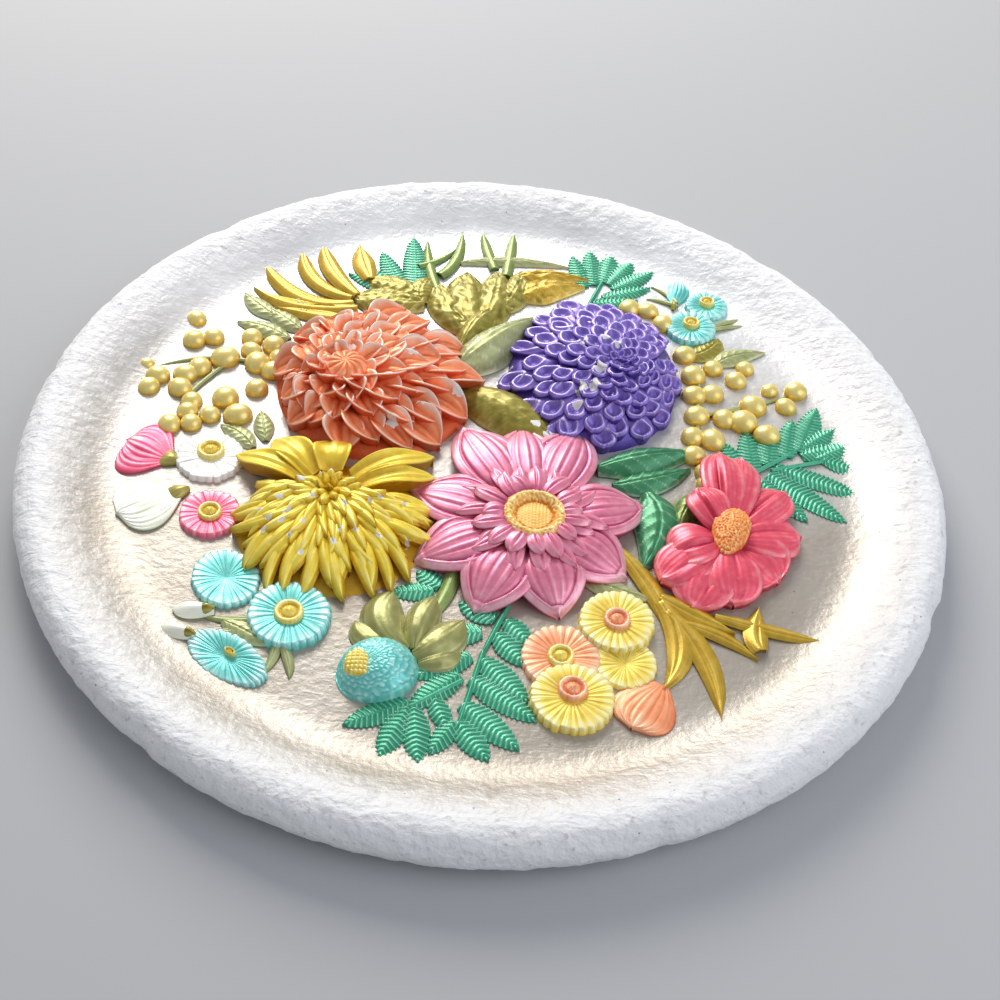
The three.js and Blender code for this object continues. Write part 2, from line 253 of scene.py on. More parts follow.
PAINTS = {
    "coral": pearl_paint("coral_pearl_paint", "#DE6230", "#FF9B68", "#FFDCC8"),
    "violet": pearl_paint("violet_pearl_paint", "#573FA0", "#8E76CE", "#EDE9FB", 0.36, 0.3),
    "yellow": pearl_paint("yellow_pearl_paint", "#CC9C17", "#F7DC46", "#FFF8AE", 0.38, 0.25),
    "pink": pearl_paint("pink_pearl_paint", "#BA4A74", "#EC8DA7", "#FFDCE4", 0.34, 0.35),
    "red": pearl_paint("red_pearl_paint", "#B92646", "#F25D72", "#FFC1C2", 0.34, 0.3),
    "seed": pearl_paint("seed_gold_paint", "#DE882B", "#FFCF72", "#FFF9C5", 0.5, 0.15),
    "cone": pearl_paint("seed_orange_paint", "#E06C2E", "#FFAB5B", "#FFE5A5", 0.5, 0.15),
    "turquoise": pearl_paint("turquoise_pearl_paint", "#33A39D", "#7AD9D1", "#E4FFFF", 0.36, 0.3),
    "white": pearl_paint("white_pearl_paint", "#D0CEBC", "#FEFBF2", "#FFFFFF", 0.4, 0.15),
    "rose": pearl_paint("rose_pearl_paint", "#C6335B", "#FE6D8D", "#FFC4CF", 0.36, 0.3),
    "peach": pearl_paint("peach_pearl_paint", "#E0703F", "#FFAD7E", "#FFE2C5", 0.4, 0.25),
    "lemon": pearl_paint("lemon_pearl_paint", "#CCA22B", "#F9DF61", "#FFFFD7", 0.4, 0.2),
    "fern": pearl_paint("fern_green_paint", "#248863", "#46B18C", "#CDF3E4", 0.34, 0.3),
    "leaf": pearl_paint("leaf_green_paint", "#236B45", "#469366", "#CAD4BE", 0.34, 0.3),
    "ochre": pearl_paint("ochre_gold_paint", "#98791C", "#D3AE39", "#F7E28C", 0.34, 0.35),
    "olive": pearl_paint("olive_gold_paint", "#787121", "#A79B44", "#CEC78A", 0.36, 0.35),
    "pale": pearl_paint("pale_leaf_paint", "#838D46", "#B5BA86", "#DCDAC4", 0.38, 0.3),
    "pale_bloom": pearl_paint("pale_green_paint", "#C5D6AB", "#FDFFEB", "#FFFFFF", 0.4, 0.2),
    "gold": pearl_paint("berry_gold_paint", "#B98C28", "#ECCB5E", "#FFF6B0", 0.32, 0.4),
    "sepal": pearl_paint("sepal_green_paint", "#757C31", "#AAA96C", "#D1D0B0", 0.36, 0.35),
    "stem": pearl_paint("stem_green_paint", "#576E31", "#8DA259", "#C1C998", 0.36, 0.3),
}
print("paints", len(PAINTS))

# %% [markdown]
# ## Building blocks
# Every raised form is a patch of grid that is bent into place. Its outer rows round the edge
# over, tuck in a little under the edge and carry the sides down into the plate. Round forms are
# spun from one spoke instead, so their faces run round the middle.

# %% Meshes and patches
BORDER = 4
EDGE_ROUND = ((0, 0), (0.6, 0.25), (0.98, 0.9), (0.5, 1.7), (-3.6, 1.9))
# Tone over the rounded edge and down the sides, falling to 0: painted shade under each edge.
EDGE_SHADE = (1, 0.95, 0.7, 0.2, 0)


def start_mesh():
    bm = bmesh.new()
    bm.verts.layers.float.new("tone")
    bm.verts.layers.float.new("chip")
    return bm


def finish_piece(bm, name, paints):
    """The mesh as a smooth-shaded piece that rides on the plaque's body."""
    for face in bm.faces:
        face.smooth = True
    mesh = bpy.data.meshes.new(name)
    bm.to_mesh(mesh)
    bm.free()
    for paint in paints:
        mesh.materials.append(PAINTS[paint])
    piece = bpy.data.objects.new(name, mesh)
    bpy.context.scene.collection.objects.link(piece)
    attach(piece, "root")
    print(name, len(mesh.polygons), "faces")
    return piece


def patch(bm, long, wide, top, edge=0.8, skirt=6, paint=0):
    """A form with a rounded edge. top(u, v) gives its point, its unit directions and its tone."""
    cells_long, cells_wide = long + 2 * BORDER, wide + 2 * BORDER
    made = bmesh.ops.create_grid(bm, x_segments=cells_long, y_segments=cells_wide, size=0.5)
    tones = bm.verts.layers.float["tone"]
    for vert in made["verts"]:
        i = (vert.co.x + 0.5) * cells_long - BORDER
        j = (vert.co.y + 0.5) * cells_wide - BORDER
        out_long = max(-i, i - long, 0)
        out_wide = max(-j, j - wide, 0)
        u = min(max(i / long, 0), 1)
        v = 2 * min(max(j / wide, 0), 1) - 1
        point, along, across, tone = top(u, v)
        outside = round(max(out_long, out_wide))
        if outside:
            way = along * (out_long * (1 if u > 0.5 else -1)) + across * (out_wide * (1 if v > 0 else -1))
            outset, drop = EDGE_ROUND[outside]
            point = point + way.normalized() * edge * outset
            point.z -= edge * drop + (skirt if outside == BORDER else 0)
            # The edge and the sides get a darker tone: painted shade under the form.
            tone *= EDGE_SHADE[outside]
        vert.co = stand(*point)
        vert[tones] = tone
        for face in vert.link_faces:
            face.material_index = paint


def spine_point(spine, u):
    """A point and direction on the smooth path through two or three points."""
    if len(spine) == 2:
        start, end = spine
        return start.lerp(end, u), (end - start)
    start, middle, end = spine
    point = start * (2 * (u - 0.5) * (u - 1)) + middle * (4 * u * (1 - u)) + end * (2 * u * (u - 0.5))
    way = start * (4 * u - 3) + middle * (4 - 8 * u) + end * (4 * u - 1)
    return point, way


def outline(u, root=0.45, peak=0.55, power=2.0, close=0.5):
    """Half-width of a petal or leaf at u, as a share of its greatest."""
    if u < peak:
        return mix(root, 1, sin(pi / 2 * u / peak))
    return max((1 - ((u - peak) / (1 - peak)) ** power) ** close, 0.04)


def tongue(bm, spine, width, relief, shape=None, long=14, wide=10, edge=0.8, skirt=6, paint=0):
    """A petal or leaf along a spine. relief(u, v, inset) gives extra height in mm and tone.

    u runs from root to tip, v from -1 to 1 across, and inset is the distance from the edge in mm."""
    spine = [Vector(point) for point in spine]
    shape = shape or {}
    length = (spine[-1] - spine[0]).length

    def top(u, v):
        point, way = spine_point(spine, u)
        along = Vector((way.x, way.y, 0)).normalized()
        across = Vector((-along.y, along.x, 0))
        half = outline(u, **shape) * width / 2
        lift, tone = relief(u, v, min((1 - abs(v)) * half, (1 - u) * length))
        point = point + across * half * v
        point.z += lift
        return point, along, across, tone

    patch(bm, long, wide, top, edge, skirt, paint)


def disc(bm, rings, spokes, place, paint=0):
    """A round form spun from one spoke. place(share, angle) gives its point and its tone."""
    for vert in bm.verts:
        vert.tag = True
    tones = bm.verts.layers.float["tone"]
    spoke = [bm.verts.new((at / rings, 0, 0)) for at in range(rings + 1)]
    edges = [bm.edges.new(pair) for pair in zip(spoke, spoke[1:])]
    bmesh.ops.spin(bm, geom=spoke + edges, cent=(0, 0, 0), axis=(0, 0, 1), angle=TURN, steps=spokes, use_merge=True)
    fresh = [vert for vert in bm.verts if not vert.tag]
    bmesh.ops.remove_doubles(bm, verts=fresh, dist=0.1 / rings)
    fresh = [vert for vert in bm.verts if not vert.tag]
    faces = {face for vert in fresh for face in vert.link_faces}
    for face in faces:
        face.normal_update()
        face.material_index = paint
    bmesh.ops.reverse_faces(bm, faces=[face for face in faces if face.normal.z < 0])
    for vert in fresh:
        share, angle = hypot(vert.co.x, vert.co.y), atan2(vert.co.y, vert.co.x)
        point, tone = place(share, angle)
        vert.co = stand(*point)
        vert[tones] = tone


def chip_paint(bm, chips):
    """Marks where paint has broken off: each chip is x, y and radius in mm, with a torn edge."""
    layer = bm.verts.layers.float["chip"]
    for vert in bm.verts:
        x, y = vert.co.x / MM, vert.co.z / MM
        tear = noise.noise(Vector((x, y, 0)) / 1.4)
        nearest = max((1 - hypot((x - cx) * 0.75, y - cy) / radius for cx, cy, radius in chips), default=0)
        vert[layer] = min(max(nearest * 1.7 + 0.8 * tear, 0), 1)


def swell(value, middle, width):
    """A soft ridge: 1 at the middle, fading to 0 within about twice the width."""
    return exp(-((value - middle) / width) ** 2)


def grain_at(x, y, size, seed=0):
    """Smooth noise from -1 to 1 with features of the given size in mm."""
    return noise.noise(Vector((x / size, y / size, seed)))


# %% [markdown]
# ## The plate
# The plate was poured into a round mould. Its face is smooth, but the rim and the edge are
# rough: the plaster there is lumpy and knocked, and the outline has small nicks. A profile is
# spun round the plate's axis, and every point is then pushed in or out by noise, hardly at all
# on the face and by up to half a millimetre on the rim.

# %% Plate
PLATE_STEPS = 500
NICKS = ((2.36, 0.035, 1.2), (0.86, 0.03, 1.0), (0.42, 0.02, 0.9), (-0.36, 0.03, 1.2), (-1.2, 0.025, 0.8),
         (-2.2, 0.03, 0.9), (3.0, 0.02, 1.0), (1.7, 0.02, 0.6))


def plate_profile():
    """Points (radius, height) from the middle of the back, round the edge, to the middle of the face."""
    points = [(BACK_RADIUS * at / 10, 0) for at in range(10)]
    for at in range(19):
        turn = pi / 2 * at / 18
        points.append((mix(BACK_RADIUS, RADIUS, sin(turn)), 9.5 * (1 - cos(turn))))
    for at in range(1, 17):
        turn = pi / 2 * at / 16
        points.append((mix(RIM_CREST, RADIUS, cos(turn)), mix(9.5, RIM_HEIGHT, sin(turn))))
    for at in range(1, 31):
        share = (1 - at / 30) ** 1.4
        points.append((mix(RIM_CREST, COVE_START, at / 30), mix(FACE, RIM_HEIGHT, smooth(share))))
    points += [(COVE_START * (1 - at / 30), FACE) for at in range(1, 31)]
    return points


def plate_wear(x, y, z):
    """How far the rough plaster stands in or out, in mm, and its tone."""
    place = Vector((x, y, z))
    radius = hypot(x, y)
    if z < 0.3:
        return 0, 0.6
    wave = noise.noise(place / 38.0)
    if radius < 132:
        return 0.2 * wave, 0.6
    rim = smooth((radius - 140) / 14)
    lumps = noise.fractal(place / 5.0, 0.6, 2.2, 4)
    pits = max(noise.noise(place / 2.0) - 0.35, 0)
    # Tone: darker in the pits and lower between the lumps, as painted shade; lighter on the lumps, as painted light.
    return rim * (0.42 * lumps - 0.9 * pits) + 0.2 * wave, 0.6 + 0.28 * lumps - 0.5 * pits


def plate():
    bm = start_mesh()
    tones = bm.verts.layers.float["tone"]
    profile = [bm.verts.new((radius, 0, height)) for radius, height in plate_profile()]
    edges = [bm.edges.new(pair) for pair in zip(profile, profile[1:])]
    bmesh.ops.spin(bm, geom=profile + edges, cent=(0, 0, 0), axis=(0, 0, 1), angle=TURN, steps=PLATE_STEPS,
                   use_merge=True)
    bmesh.ops.remove_doubles(bm, verts=bm.verts, dist=0.01)
    bmesh.ops.recalc_face_normals(bm, faces=bm.faces)
    bm.normal_update()
    moved = []
    for vert in bm.verts:
        x, y, z = vert.co
        out, tone = plate_wear(x, y, z)
        radius, angle = hypot(x, y), atan2(y, x)
        nick = sum(depth * exp(-((angle - at) / width) ** 2) for at, width, depth in NICKS)
        bite = nick * smooth((radius - 156) / 8) * (1 if z > 1 else 0)
        moved.append((vert.co + vert.normal * (out - bite), tone))
    for vert, (point, tone) in zip(bm.verts, moved):
        vert.co = stand(*point)
        vert[tones] = tone
    return bm


# %% Plate paint
def two_color_ramp(tree, source, first, second, start, end):
    """A colour that runs from first to second while the source runs from start to end."""
    ramp = add_node(tree, "ShaderNodeValToRGB", None, {"Fac": source})
    for element, position, code in zip(ramp.color_ramp.elements, (start, end), (first, second)):
        element.position = position
        element.color = hex_color(code)
    return ramp.outputs[0]


def blend(tree, share, first, second):
    node = add_node(tree, "ShaderNodeMix", {"data_type": "RGBA"})
    for socket, source in ((0, share), (6, first), (7, second)):
        tree.links.new(source, node.inputs[socket])
    return node.outputs[2]


def dish_paint():
    """Pearly ivory paint on the face, and bare white plaster where the rim is rough."""
    material = new_material("ivory_pearl_and_plaster")
    tree = material.node_tree
    place = add_node(tree, "ShaderNodeTexCoord").outputs["Object"]
    tone = add_node(tree, "ShaderNodeAttribute", {"attribute_name": "tone"}).outputs["Fac"]
    axes = add_node(tree, "ShaderNodeSeparateXYZ", None, {0: place})
    flat = add_node(tree, "ShaderNodeCombineXYZ", None, {0: axes.outputs[0], 1: axes.outputs[2]})
    radius = add_node(tree, "ShaderNodeVectorMath", {"operation": "LENGTH"}, {0: flat.outputs[0]})
    streaks = add_node(tree, "ShaderNodeMapping", {"Scale": (1, 1, 2.2)}, {"Vector": place})
    cloud = add_node(tree, "ShaderNodeTexNoise", {"Scale": 1 / (34 * MM), "Detail": 4.0}, {"Vector": place})
    brush = add_node(tree, "ShaderNodeTexNoise", {"Scale": 1 / (7 * MM), "Detail": 6.0, "Distortion": 1.0},
                     {"Vector": streaks.outputs[0]})
    lumps = add_node(tree, "ShaderNodeTexNoise", {"Scale": 1 / (2.6 * MM), "Detail": 4.0}, {"Vector": place})
    specks = add_node(tree, "ShaderNodeTexVoronoi", {"Scale": 1 / (4.5 * MM)}, {"Vector": place})
    ragged = add_node(tree, "ShaderNodeMath", {"operation": "MULTIPLY_ADD", 1: 16 * MM},
                      {0: brush.outputs["Fac"], 2: radius.outputs["Value"]})
    rim = add_node(tree, "ShaderNodeMapRange", {"From Min": 148 * MM, "From Max": 164 * MM}, {"Value": ragged.outputs[0]})
    # The face turns from warm ivory near the bottom to near white towards the top: the near white is a painted
    # reflection.
    warm = two_color_ramp(tree, cloud.outputs["Fac"], "#A9A093", "#B4AEA4", 0.35, 0.65)
    reflected_white = two_color_ramp(tree, cloud.outputs["Fac"], "#D9DBDD", "#F6F8FA", 0.35, 0.65)
    height = add_node(tree, "ShaderNodeMath", {"operation": "MULTIPLY_ADD", 1: 60 * MM},
                      {0: brush.outputs["Fac"], 2: axes.outputs[2]})
    far = add_node(tree, "ShaderNodeMapRange", {"From Min": -10 * MM, "From Max": 135 * MM}, {"Value": height.outputs[0]})
    ivory = blend(tree, far.outputs[0], warm, reflected_white)
    # Bare plaster on the rim, greyer where the tone is low: painted shade in the pits.
    chalk_and_pit_shade = two_color_ramp(tree, tone, "#B2B2B1", "#EEEFF0", 0.02, 0.45)
    body = blend(tree, rim.outputs[0], ivory, chalk_and_pit_shade)
    speck = add_node(tree, "ShaderNodeMapRange", {"From Min": 0.05, "From Max": 0.1, "To Min": 0.8, "To Max": 0.0},
                     {"Value": specks.outputs["Distance"]})
    rare = add_node(tree, "ShaderNodeMapRange", {"From Min": 0.5, "From Max": 0.58}, {"Value": brush.outputs["Fac"]})
    dirt = add_node(tree, "ShaderNodeMath", {"operation": "MULTIPLY"}, {0: speck.outputs[0], 1: rare.outputs[0]})
    scuff = add_node(tree, "ShaderNodeMapRange", {"From Min": 0.62, "From Max": 0.74, "To Min": 0.0, "To Max": 0.4},
                     {"Value": lumps.outputs["Fac"]})
    grey = add_node(tree, "ShaderNodeMath", {"operation": "MULTIPLY"}, {0: scuff.outputs[0], 1: rim.outputs[0]})
    soil = add_node(tree, "ShaderNodeMath", {"operation": "MAXIMUM"}, {0: dirt.outputs[0], 1: grey.outputs[0]})
    dust = add_node(tree, "ShaderNodeRGB")
    dust.outputs[0].default_value = hex_color("#6B6860")
    color = blend(tree, soil.outputs[0], body, dust.outputs[0])
    gloss = add_node(tree, "ShaderNodeMapRange", {"To Min": 0.34, "To Max": 0.62}, {"Value": rim.outputs[0]})
    mica = add_node(tree, "ShaderNodeMapRange", {"To Min": 0.3, "To Max": 0.0}, {"Value": rim.outputs[0]})
    depth = add_node(tree, "ShaderNodeMapRange", {"To Min": 0.22, "To Max": 0.9}, {"Value": rim.outputs[0]})
    coarse = add_node(tree, "ShaderNodeMath", {"operation": "MULTIPLY_ADD", 1: 0.8},
                      {0: brush.outputs["Fac"], 2: lumps.outputs["Fac"]})
    bump = add_node(tree, "ShaderNodeBump", {"Distance": 0.9 * MM},
                    {"Height": coarse.outputs[0], "Strength": depth.outputs[0]})
    paint = add_node(tree, "ShaderNodeBsdfPrincipled", {"IOR": 1.5},
                     {"Base Color": color, "Roughness": gloss.outputs[0], "Metallic": mica.outputs[0],
                      "Normal": bump.outputs[0]})
    add_node(tree, "ShaderNodeOutputMaterial", None, {"Surface": paint.outputs[0]})
    return material


PAINTS["dish"] = dish_paint()
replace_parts(finish_piece(plate(), "plate", ["dish"]), "plaque")

# %% [markdown]
# ## How a bloom is laid out
# Each large bloom is a low dome whose top may lie off its middle, because the flower leans.
# Spread runs from 0 at the axis to 1 at the edge of its foot. The petals of a real dahlia sit on
# a spiral that turns by the golden angle from one to the next, so one loop lays out a whole
# bloom, and petals grow with the room they have. Each petal rises from deep at its root to its
# tip, which lays it over the petals further out. A little chance keeps it from looking stamped.

# %% Bloom layout
chance = random.Random(7)
GOLDEN = pi * (3 - 5 ** 0.5)


class Bloom:
    """A dome with an axis, an oval foot, and heights at its top and edge."""

    def __init__(self, axis, foot, reach, top, edge):
        self.axis, self.foot, self.reach, self.top, self.edge = axis, foot, reach, top, edge

    def at(self, spread, angle, rise=0):
        x = mix(self.axis[0], self.foot[0], spread) + spread * self.reach[0] * cos(angle)
        y = mix(self.axis[1], self.foot[1], spread) + spread * self.reach[1] * sin(angle)
        return Vector((x, y, mix(self.top, self.edge, spread ** 1.6) + rise))

    def spiral(self, count, power, first=1):
        """Spread, angle and room in mm of each petal, from the middle outwards."""
        radius = (self.reach[0] + self.reach[1]) / 2
        for at in range(first, count + 1):
            spread = (at / count) ** power
            yield spread, at * GOLDEN, radius * spread * (TURN * power / at) ** 0.5

    def core(self, bm, sink, size=0.93, paint=0):
        """The dome under the petals."""

        def place(share, angle):
            point = self.at(share * size, angle, -sink)
            if share > 0.97:
                point.z = FACE - 2
            # The whole dome takes the darkest tone: painted shade under the petals.
            return point, 0.02

        disc(bm, 16, 48, place, paint)


ORANGE = Bloom((-54, 26), (-42.5, 35), (41, 44), 24, 10.5)
PURPLE = Bloom((48, 41), (37, 50), (36, 45), 27, 10.5)
YELLOW = Bloom((-53, -30), (-50, -41), (37, 34), 20, 10)
PINK = Bloom((18, -34), (16, -31), (41, 42), 17, 10.5)
RED = Bloom((86, -37), (85, -28), (25.5, 36), 14, 11)

# %% [markdown]
# ## Orange dahlia
# Its petals are broad, pointed and cupped, with grooves along them and a lip that catches the
# light. They stand up round a tight ball in the middle and lie down at the edge.

# %% Orange dahlia
CORAL_PETALS = 56
ORANGE_CHIPS = ((-31, 40, 3.4), (-35, 6, 2.6), (-53, 36, 2), (-60, 30, 1.6), (-58, 5, 1.6), (-25, 16, 2.4),
                (-12, 25, 2.6), (-3, 29, 2.6))


def coral_petal(bm, bloom, spread, angle, room):
    reach = spread * chance.uniform(0.97, 1.04)
    root = max(spread - 0.27 - 0.12 * spread, 0.06)
    bend = chance.uniform(-0.17, 0.17)
    width = room * chance.uniform(1.1, 1.5)
    hang = smooth((spread - 0.4) / 0.5)
    start = bloom.at(root, angle - bend * 0.3, -2.2)
    middle = bloom.at(mix(root, reach, 0.55), angle + bend * 0.5, mix(1.8, 0.9, hang))
    end = bloom.at(reach, angle + bend, mix(2.8, -0.6, hang) + chance.uniform(-0.5, 0.7))
    side = chance.choice((-1, 1)) * chance.uniform(0.1, 0.5)

    def relief(u, v, inset):
        lip = 1 - smooth(inset / 1.4)
        keel = swell(v, side * 0.3, 0.1) + 0.6 * swell(abs(v - side * 0.3), 0.48, 0.08)
        keel *= (1 - lip) * sin(pi * u)
        cup = v * v * sin(pi * min(u * 0.75 + 0.15, 1)) * (1 + side * v)
        lift = 0.3 * room * cup - 0.9 * keel + 0.3 * lip
        # Tone: darker in the grooves and towards the root, as painted shade; lighter on the lip and the cupped sides,
        # partly as painted highlight.
        return lift, (0.3 + 0.2 * u - 0.4 * keel + 0.3 * lip + 0.3 * cup) * smooth(u * 2.6)

    shape = {"root": 0.5, "peak": 0.5, "power": 1.8, "close": 0.75}
    tongue(bm, (start, middle, end), width, relief, shape, 18, 18, 0.5, 5)


def coral_bud(bm, bloom):
    """The tight ball: petals still closed, twisting up to a point."""
    def place(share, angle):
        fold = abs(sin((angle + 0.6 * share) * 5.5)) ** 0.5
        radius = 8.4 * sin(pi / 2 * min(share * 1.12, 1)) * (0.93 + 0.07 * fold)
        point = Vector((bloom.axis[0] + radius * cos(angle), bloom.axis[1] + radius * sin(angle), 0))
        point.z = bloom.top - 3 + 7.2 * max(cos(pi / 2 * share), 0) ** 0.8 + 0.7 * fold * sin(pi * share)
        if share > 0.96:
            point.z -= 6
        # Tone: darker in the creases between the closed petals, as painted shade, and lighter on their folds.
        return point, 0.12 + 0.5 * fold * min(share * 2, 1)

    disc(bm, 26, 130, place)


bm = start_mesh()
ORANGE.core(bm, 2.6)
for spread, angle, room in ORANGE.spiral(CORAL_PETALS, 0.6, 5):
    coral_petal(bm, ORANGE, spread, angle, room)
coral_bud(bm, ORANGE)
chip_paint(bm, ORANGE_CHIPS)
finish_piece(bm, "orange_dahlia", ["coral"])

# %% [markdown]
# ## Purple pompon dahlia
# Here every petal is rolled into a quill that opens like a little cup. The cups are tiny in the
# middle and grow towards the edge. Their rims are pale, partly from worn paint and partly as a
# painted highlight, and their hollows are darkened as painted shade.

# %% Purple dahlia
VIOLET_CUPS = 96
PURPLE_CHIPS = ((45, 49, 2.4), (41, 53, 2), (39, 36, 2.6), (38, 29, 2.8), (33, 28, 2.4), (33, 52, 1.6), (32, 22, 2),
                (6, 51, 3), (13, 78, 3))


def violet_cup(bm, bloom, spread, angle, room):
    reach = spread * chance.uniform(0.96, 1.03)
    radius = (bloom.reach[0] + bloom.reach[1]) / 2
    root = max(reach - chance.uniform(1.35, 1.6) * room / radius, 0.01)
    width = room * chance.uniform(0.86, 1.08)
    twist = chance.uniform(-0.12, 0.12)
    start, end = bloom.at(root, angle, -2), bloom.at(reach, angle + twist, 2.2 - 2.6 * spread ** 3)
    back = chance.uniform(0.3, 0.42)

    def relief(u, v, inset):
        ring = hypot((u - 1 + back) / back, v * (1 + 1.2 * max(1 - back - u, 0)))
        hollow = smooth((0.8 - ring) / 0.7)
        tube = (1 - v * v) * smooth((0.6 - u) * 3)
        lift = 0.08 * room * swell(ring, 0.86, 0.2) - 0.17 * room * hollow + 0.12 * room * tube
        inner = swell(v, 0.2, 0.12) * hollow
        # Tone: the hollow is darkened as painted shade; the pale rim is partly worn paint and partly painted highlight;
        # darker towards the root as painted shade.
        return (lift + 0.05 * room * inner,
                (0.42 - 0.16 * hollow + 0.1 * tube + 0.42 * swell(ring, 0.9, 0.07) + 0.2 * inner) * smooth(u * 3.5))

    shape = {"root": 0.45, "peak": 0.66, "power": 2.3, "close": 0.52}
    tongue(bm, (start, end), width, relief, shape, 18, 16, 0.5, 5)


bm = start_mesh()
PURPLE.core(bm, 2.6)
for spread, angle, room in PURPLE.spiral(VIOLET_CUPS, 0.68):
    violet_cup(bm, PURPLE, spread, angle, room)
chip_paint(bm, PURPLE_CHIPS)
finish_piece(bm, "purple_dahlia", ["violet"])

# %% [markdown]
# ## Yellow cactus dahlia
# Its petals are rolled into solid spikes that hang outwards and down. The higher ones have a
# broken, white tip. Behind the middle the spikes give way to five broader petals.

# %% Yellow dahlia
YELLOW_SPIKES = 165
SAILS_FROM, SAILS_TO = 0.12 * pi, 0.86 * pi
YELLOW_SAILS = (((-61, -24), (-88, -12), 9), ((-60, -20), (-76, -3), 12), ((-54, -18), (-55, -1), 13),
                ((-46, -20), (-19, -5), 8), ((-44, -25), (-18, -15), 8))


def yellow_spike(bm, bloom, spread, angle, room, tips):
    reach = spread * chance.uniform(0.95, 1.05)
    root = max(spread - 0.4 - 0.14 * spread, 0.02)
    width = min(room * 0.8, 4.3) * chance.uniform(0.85, 1.15)
    bend = chance.uniform(-0.26, 0.26)
    lift_tip = chance.uniform(-0.7, 0.9)
    hang = smooth((spread - 0.45) / 0.5)
    start = bloom.at(root, angle, -2)
    middle = bloom.at(mix(root, reach, 0.55), angle + bend * 0.3, 1.4 + lift_tip * 0.5)
    end = bloom.at(reach, angle + bend, mix(3.0, -0.4, hang) + lift_tip)
    if 0.2 < spread < 0.75 and chance.random() < 0.4:
        tips.append((end.x, end.y, 1.3))
    phase = chance.uniform(0, TURN)

    def relief(u, v, inset):
        round_top = (1 - v * v) ** 0.6
        dent = swell(v, 0.35 * sin(phase), 0.2) * sin(pi * min(u * 1.1, 1))
        lift = width * 0.42 * round_top - 0.6 + 0.25 * sin(7 * u + phase) * u - 0.35 * dent
        # Tone: lighter along the rounded top of each spike and darker on its sides, dents and root, as painted light
        # and shade.
        return lift, (0.1 + 0.5 * round_top - 0.12 * dent) * smooth(u * 2.2) * (0.8 + 0.35 * u)

    shape = {"root": 0.75, "peak": 0.45, "power": 2.2, "close": 0.6}
    tongue(bm, (start, middle, end), width, relief, shape, 16, 10, 0.5, 6)


def yellow_sail(bm, root, tip, width):
    middle = Vector((*root, 0)).lerp(Vector((*tip, 0)), 0.5)
    middle.z = 17.5

    def relief(u, v, inset):
        lip = 1 - smooth(inset / 1.2)
        ridge = swell(v, -0.1, 0.22) * sin(pi * u)
        # Tone: lighter on the ridge and the lip, partly as painted highlight.
        return 2.2 * v * v * sin(pi * min(u + 0.2, 1)) + 0.9 * ridge, 0.2 + 0.2 * u + 0.35 * ridge + 0.25 * lip

    tongue(bm, (Vector((*root, 15)), middle, Vector((*tip, 13))), width, relief,
           {"root": 0.6, "peak": 0.5, "power": 1.9, "close": 0.65}, 18, 14, 0.5, 7)


bm = start_mesh()
YELLOW.core(bm, 2.6)
broken_tips = []
for spread, angle, room in YELLOW.spiral(YELLOW_SPIKES, 0.6, 2):
    if spread < 0.3 or not SAILS_FROM < angle % TURN < SAILS_TO:
        yellow_spike(bm, YELLOW, spread, angle, room, broken_tips)
for root, tip, width in YELLOW_SAILS:
    yellow_sail(bm, root, tip, width)
chip_paint(bm, broken_tips)
finish_piece(bm, "yellow_dahlia", ["yellow"])

# %% [markdown]
# ## Pink dahlia
# Nine broad, pointed petals with a raised border and fine lines, two rings of narrow rolled
# petals, and a seed disc: a pitted ring round a shallow well full of tiny beads.

# %% Pink dahlia
PINK_TIPS = ((57, -19), (50, -52), (28, -71), (0, -72), (-21, -52), (-25, -20), (-10, 14), (12, 17), (33, 18))
PINK_WIDTH = 24
PINK_QUILLS = ((17, 0.62, 0.0, 2.0), (15, 0.5, 0.5, 3.4))
SEED_RADIUS = 12.2


def pink_petal(bm, tip_x, tip_y):
    axis = Vector((*PINK.axis, 13))
    end = Vector((tip_x, tip_y, FACE + 1.6))
    start = axis.lerp(end, 0.2)
    middle = axis.lerp(end, 0.6)
    middle.z = 15.4

    def relief(u, v, inset):
        border = 1 - smooth((inset - 2.2) / 0.9)
        groove = swell(inset, 3.1, 0.4) + 0.5 * swell(inset, 1.7, 0.22)
        lines = (cos(pi * v * 7) + 0.6 * cos(pi * v * 12 + 1)) * (1 - border) * sin(pi * u)
        lift = 3.0 * (1 - v * v) * (1 - 0.4 * u) - 1.2 - 0.45 * groove + 0.14 * lines + 0.35 * border
        # Tone: darker in the grooves and towards the root as painted shade, lighter on the raised border, partly as
        # painted highlight.
        return lift, (0.34 + 0.2 * border - 0.5 * groove + 0.12 * lines + 0.22 * smooth(u * 2 - 0.9)) * smooth(u * 3)

    shape = {"root": 0.4, "peak": 0.52, "power": 1.75, "close": 0.78}
    tongue(bm, (start, middle, end), PINK_WIDTH, relief, shape, 40, 44, 0.7, 6)


def pink_quill(bm, angle, tip, rise):
    bend = chance.uniform(-0.22, 0.22)
    reach = tip * chance.uniform(0.82, 1.06)
    width = chance.uniform(5.0, 6.8)
    start, middle = PINK.at(0.22, angle, rise - 1.5), PINK.at(mix(0.22, reach, 0.5), angle + bend * 0.4, rise)
    end = PINK.at(reach, angle + bend, rise - 0.4)

    def relief(u, v, inset):
        lip = 1 - smooth(inset / 0.9)
        groove = swell(v, 0.1, 0.14) * sin(pi * min(u * 0.9 + 0.1, 1))
        # Tone: darker in the groove and at the root as painted shade, lighter on the lip.
        return 1.0 * (1 - v * v) - 0.8 * groove + 0.2 * lip, (0.38 + 0.15 * u + 0.12 * lip - 0.4 * groove) * smooth(u * 3)

    tongue(bm, (start, middle, end), width, relief, {"root": 0.5, "peak": 0.55, "power": 2.2, "close": 0.6}, 14, 14, 0.4, 6)


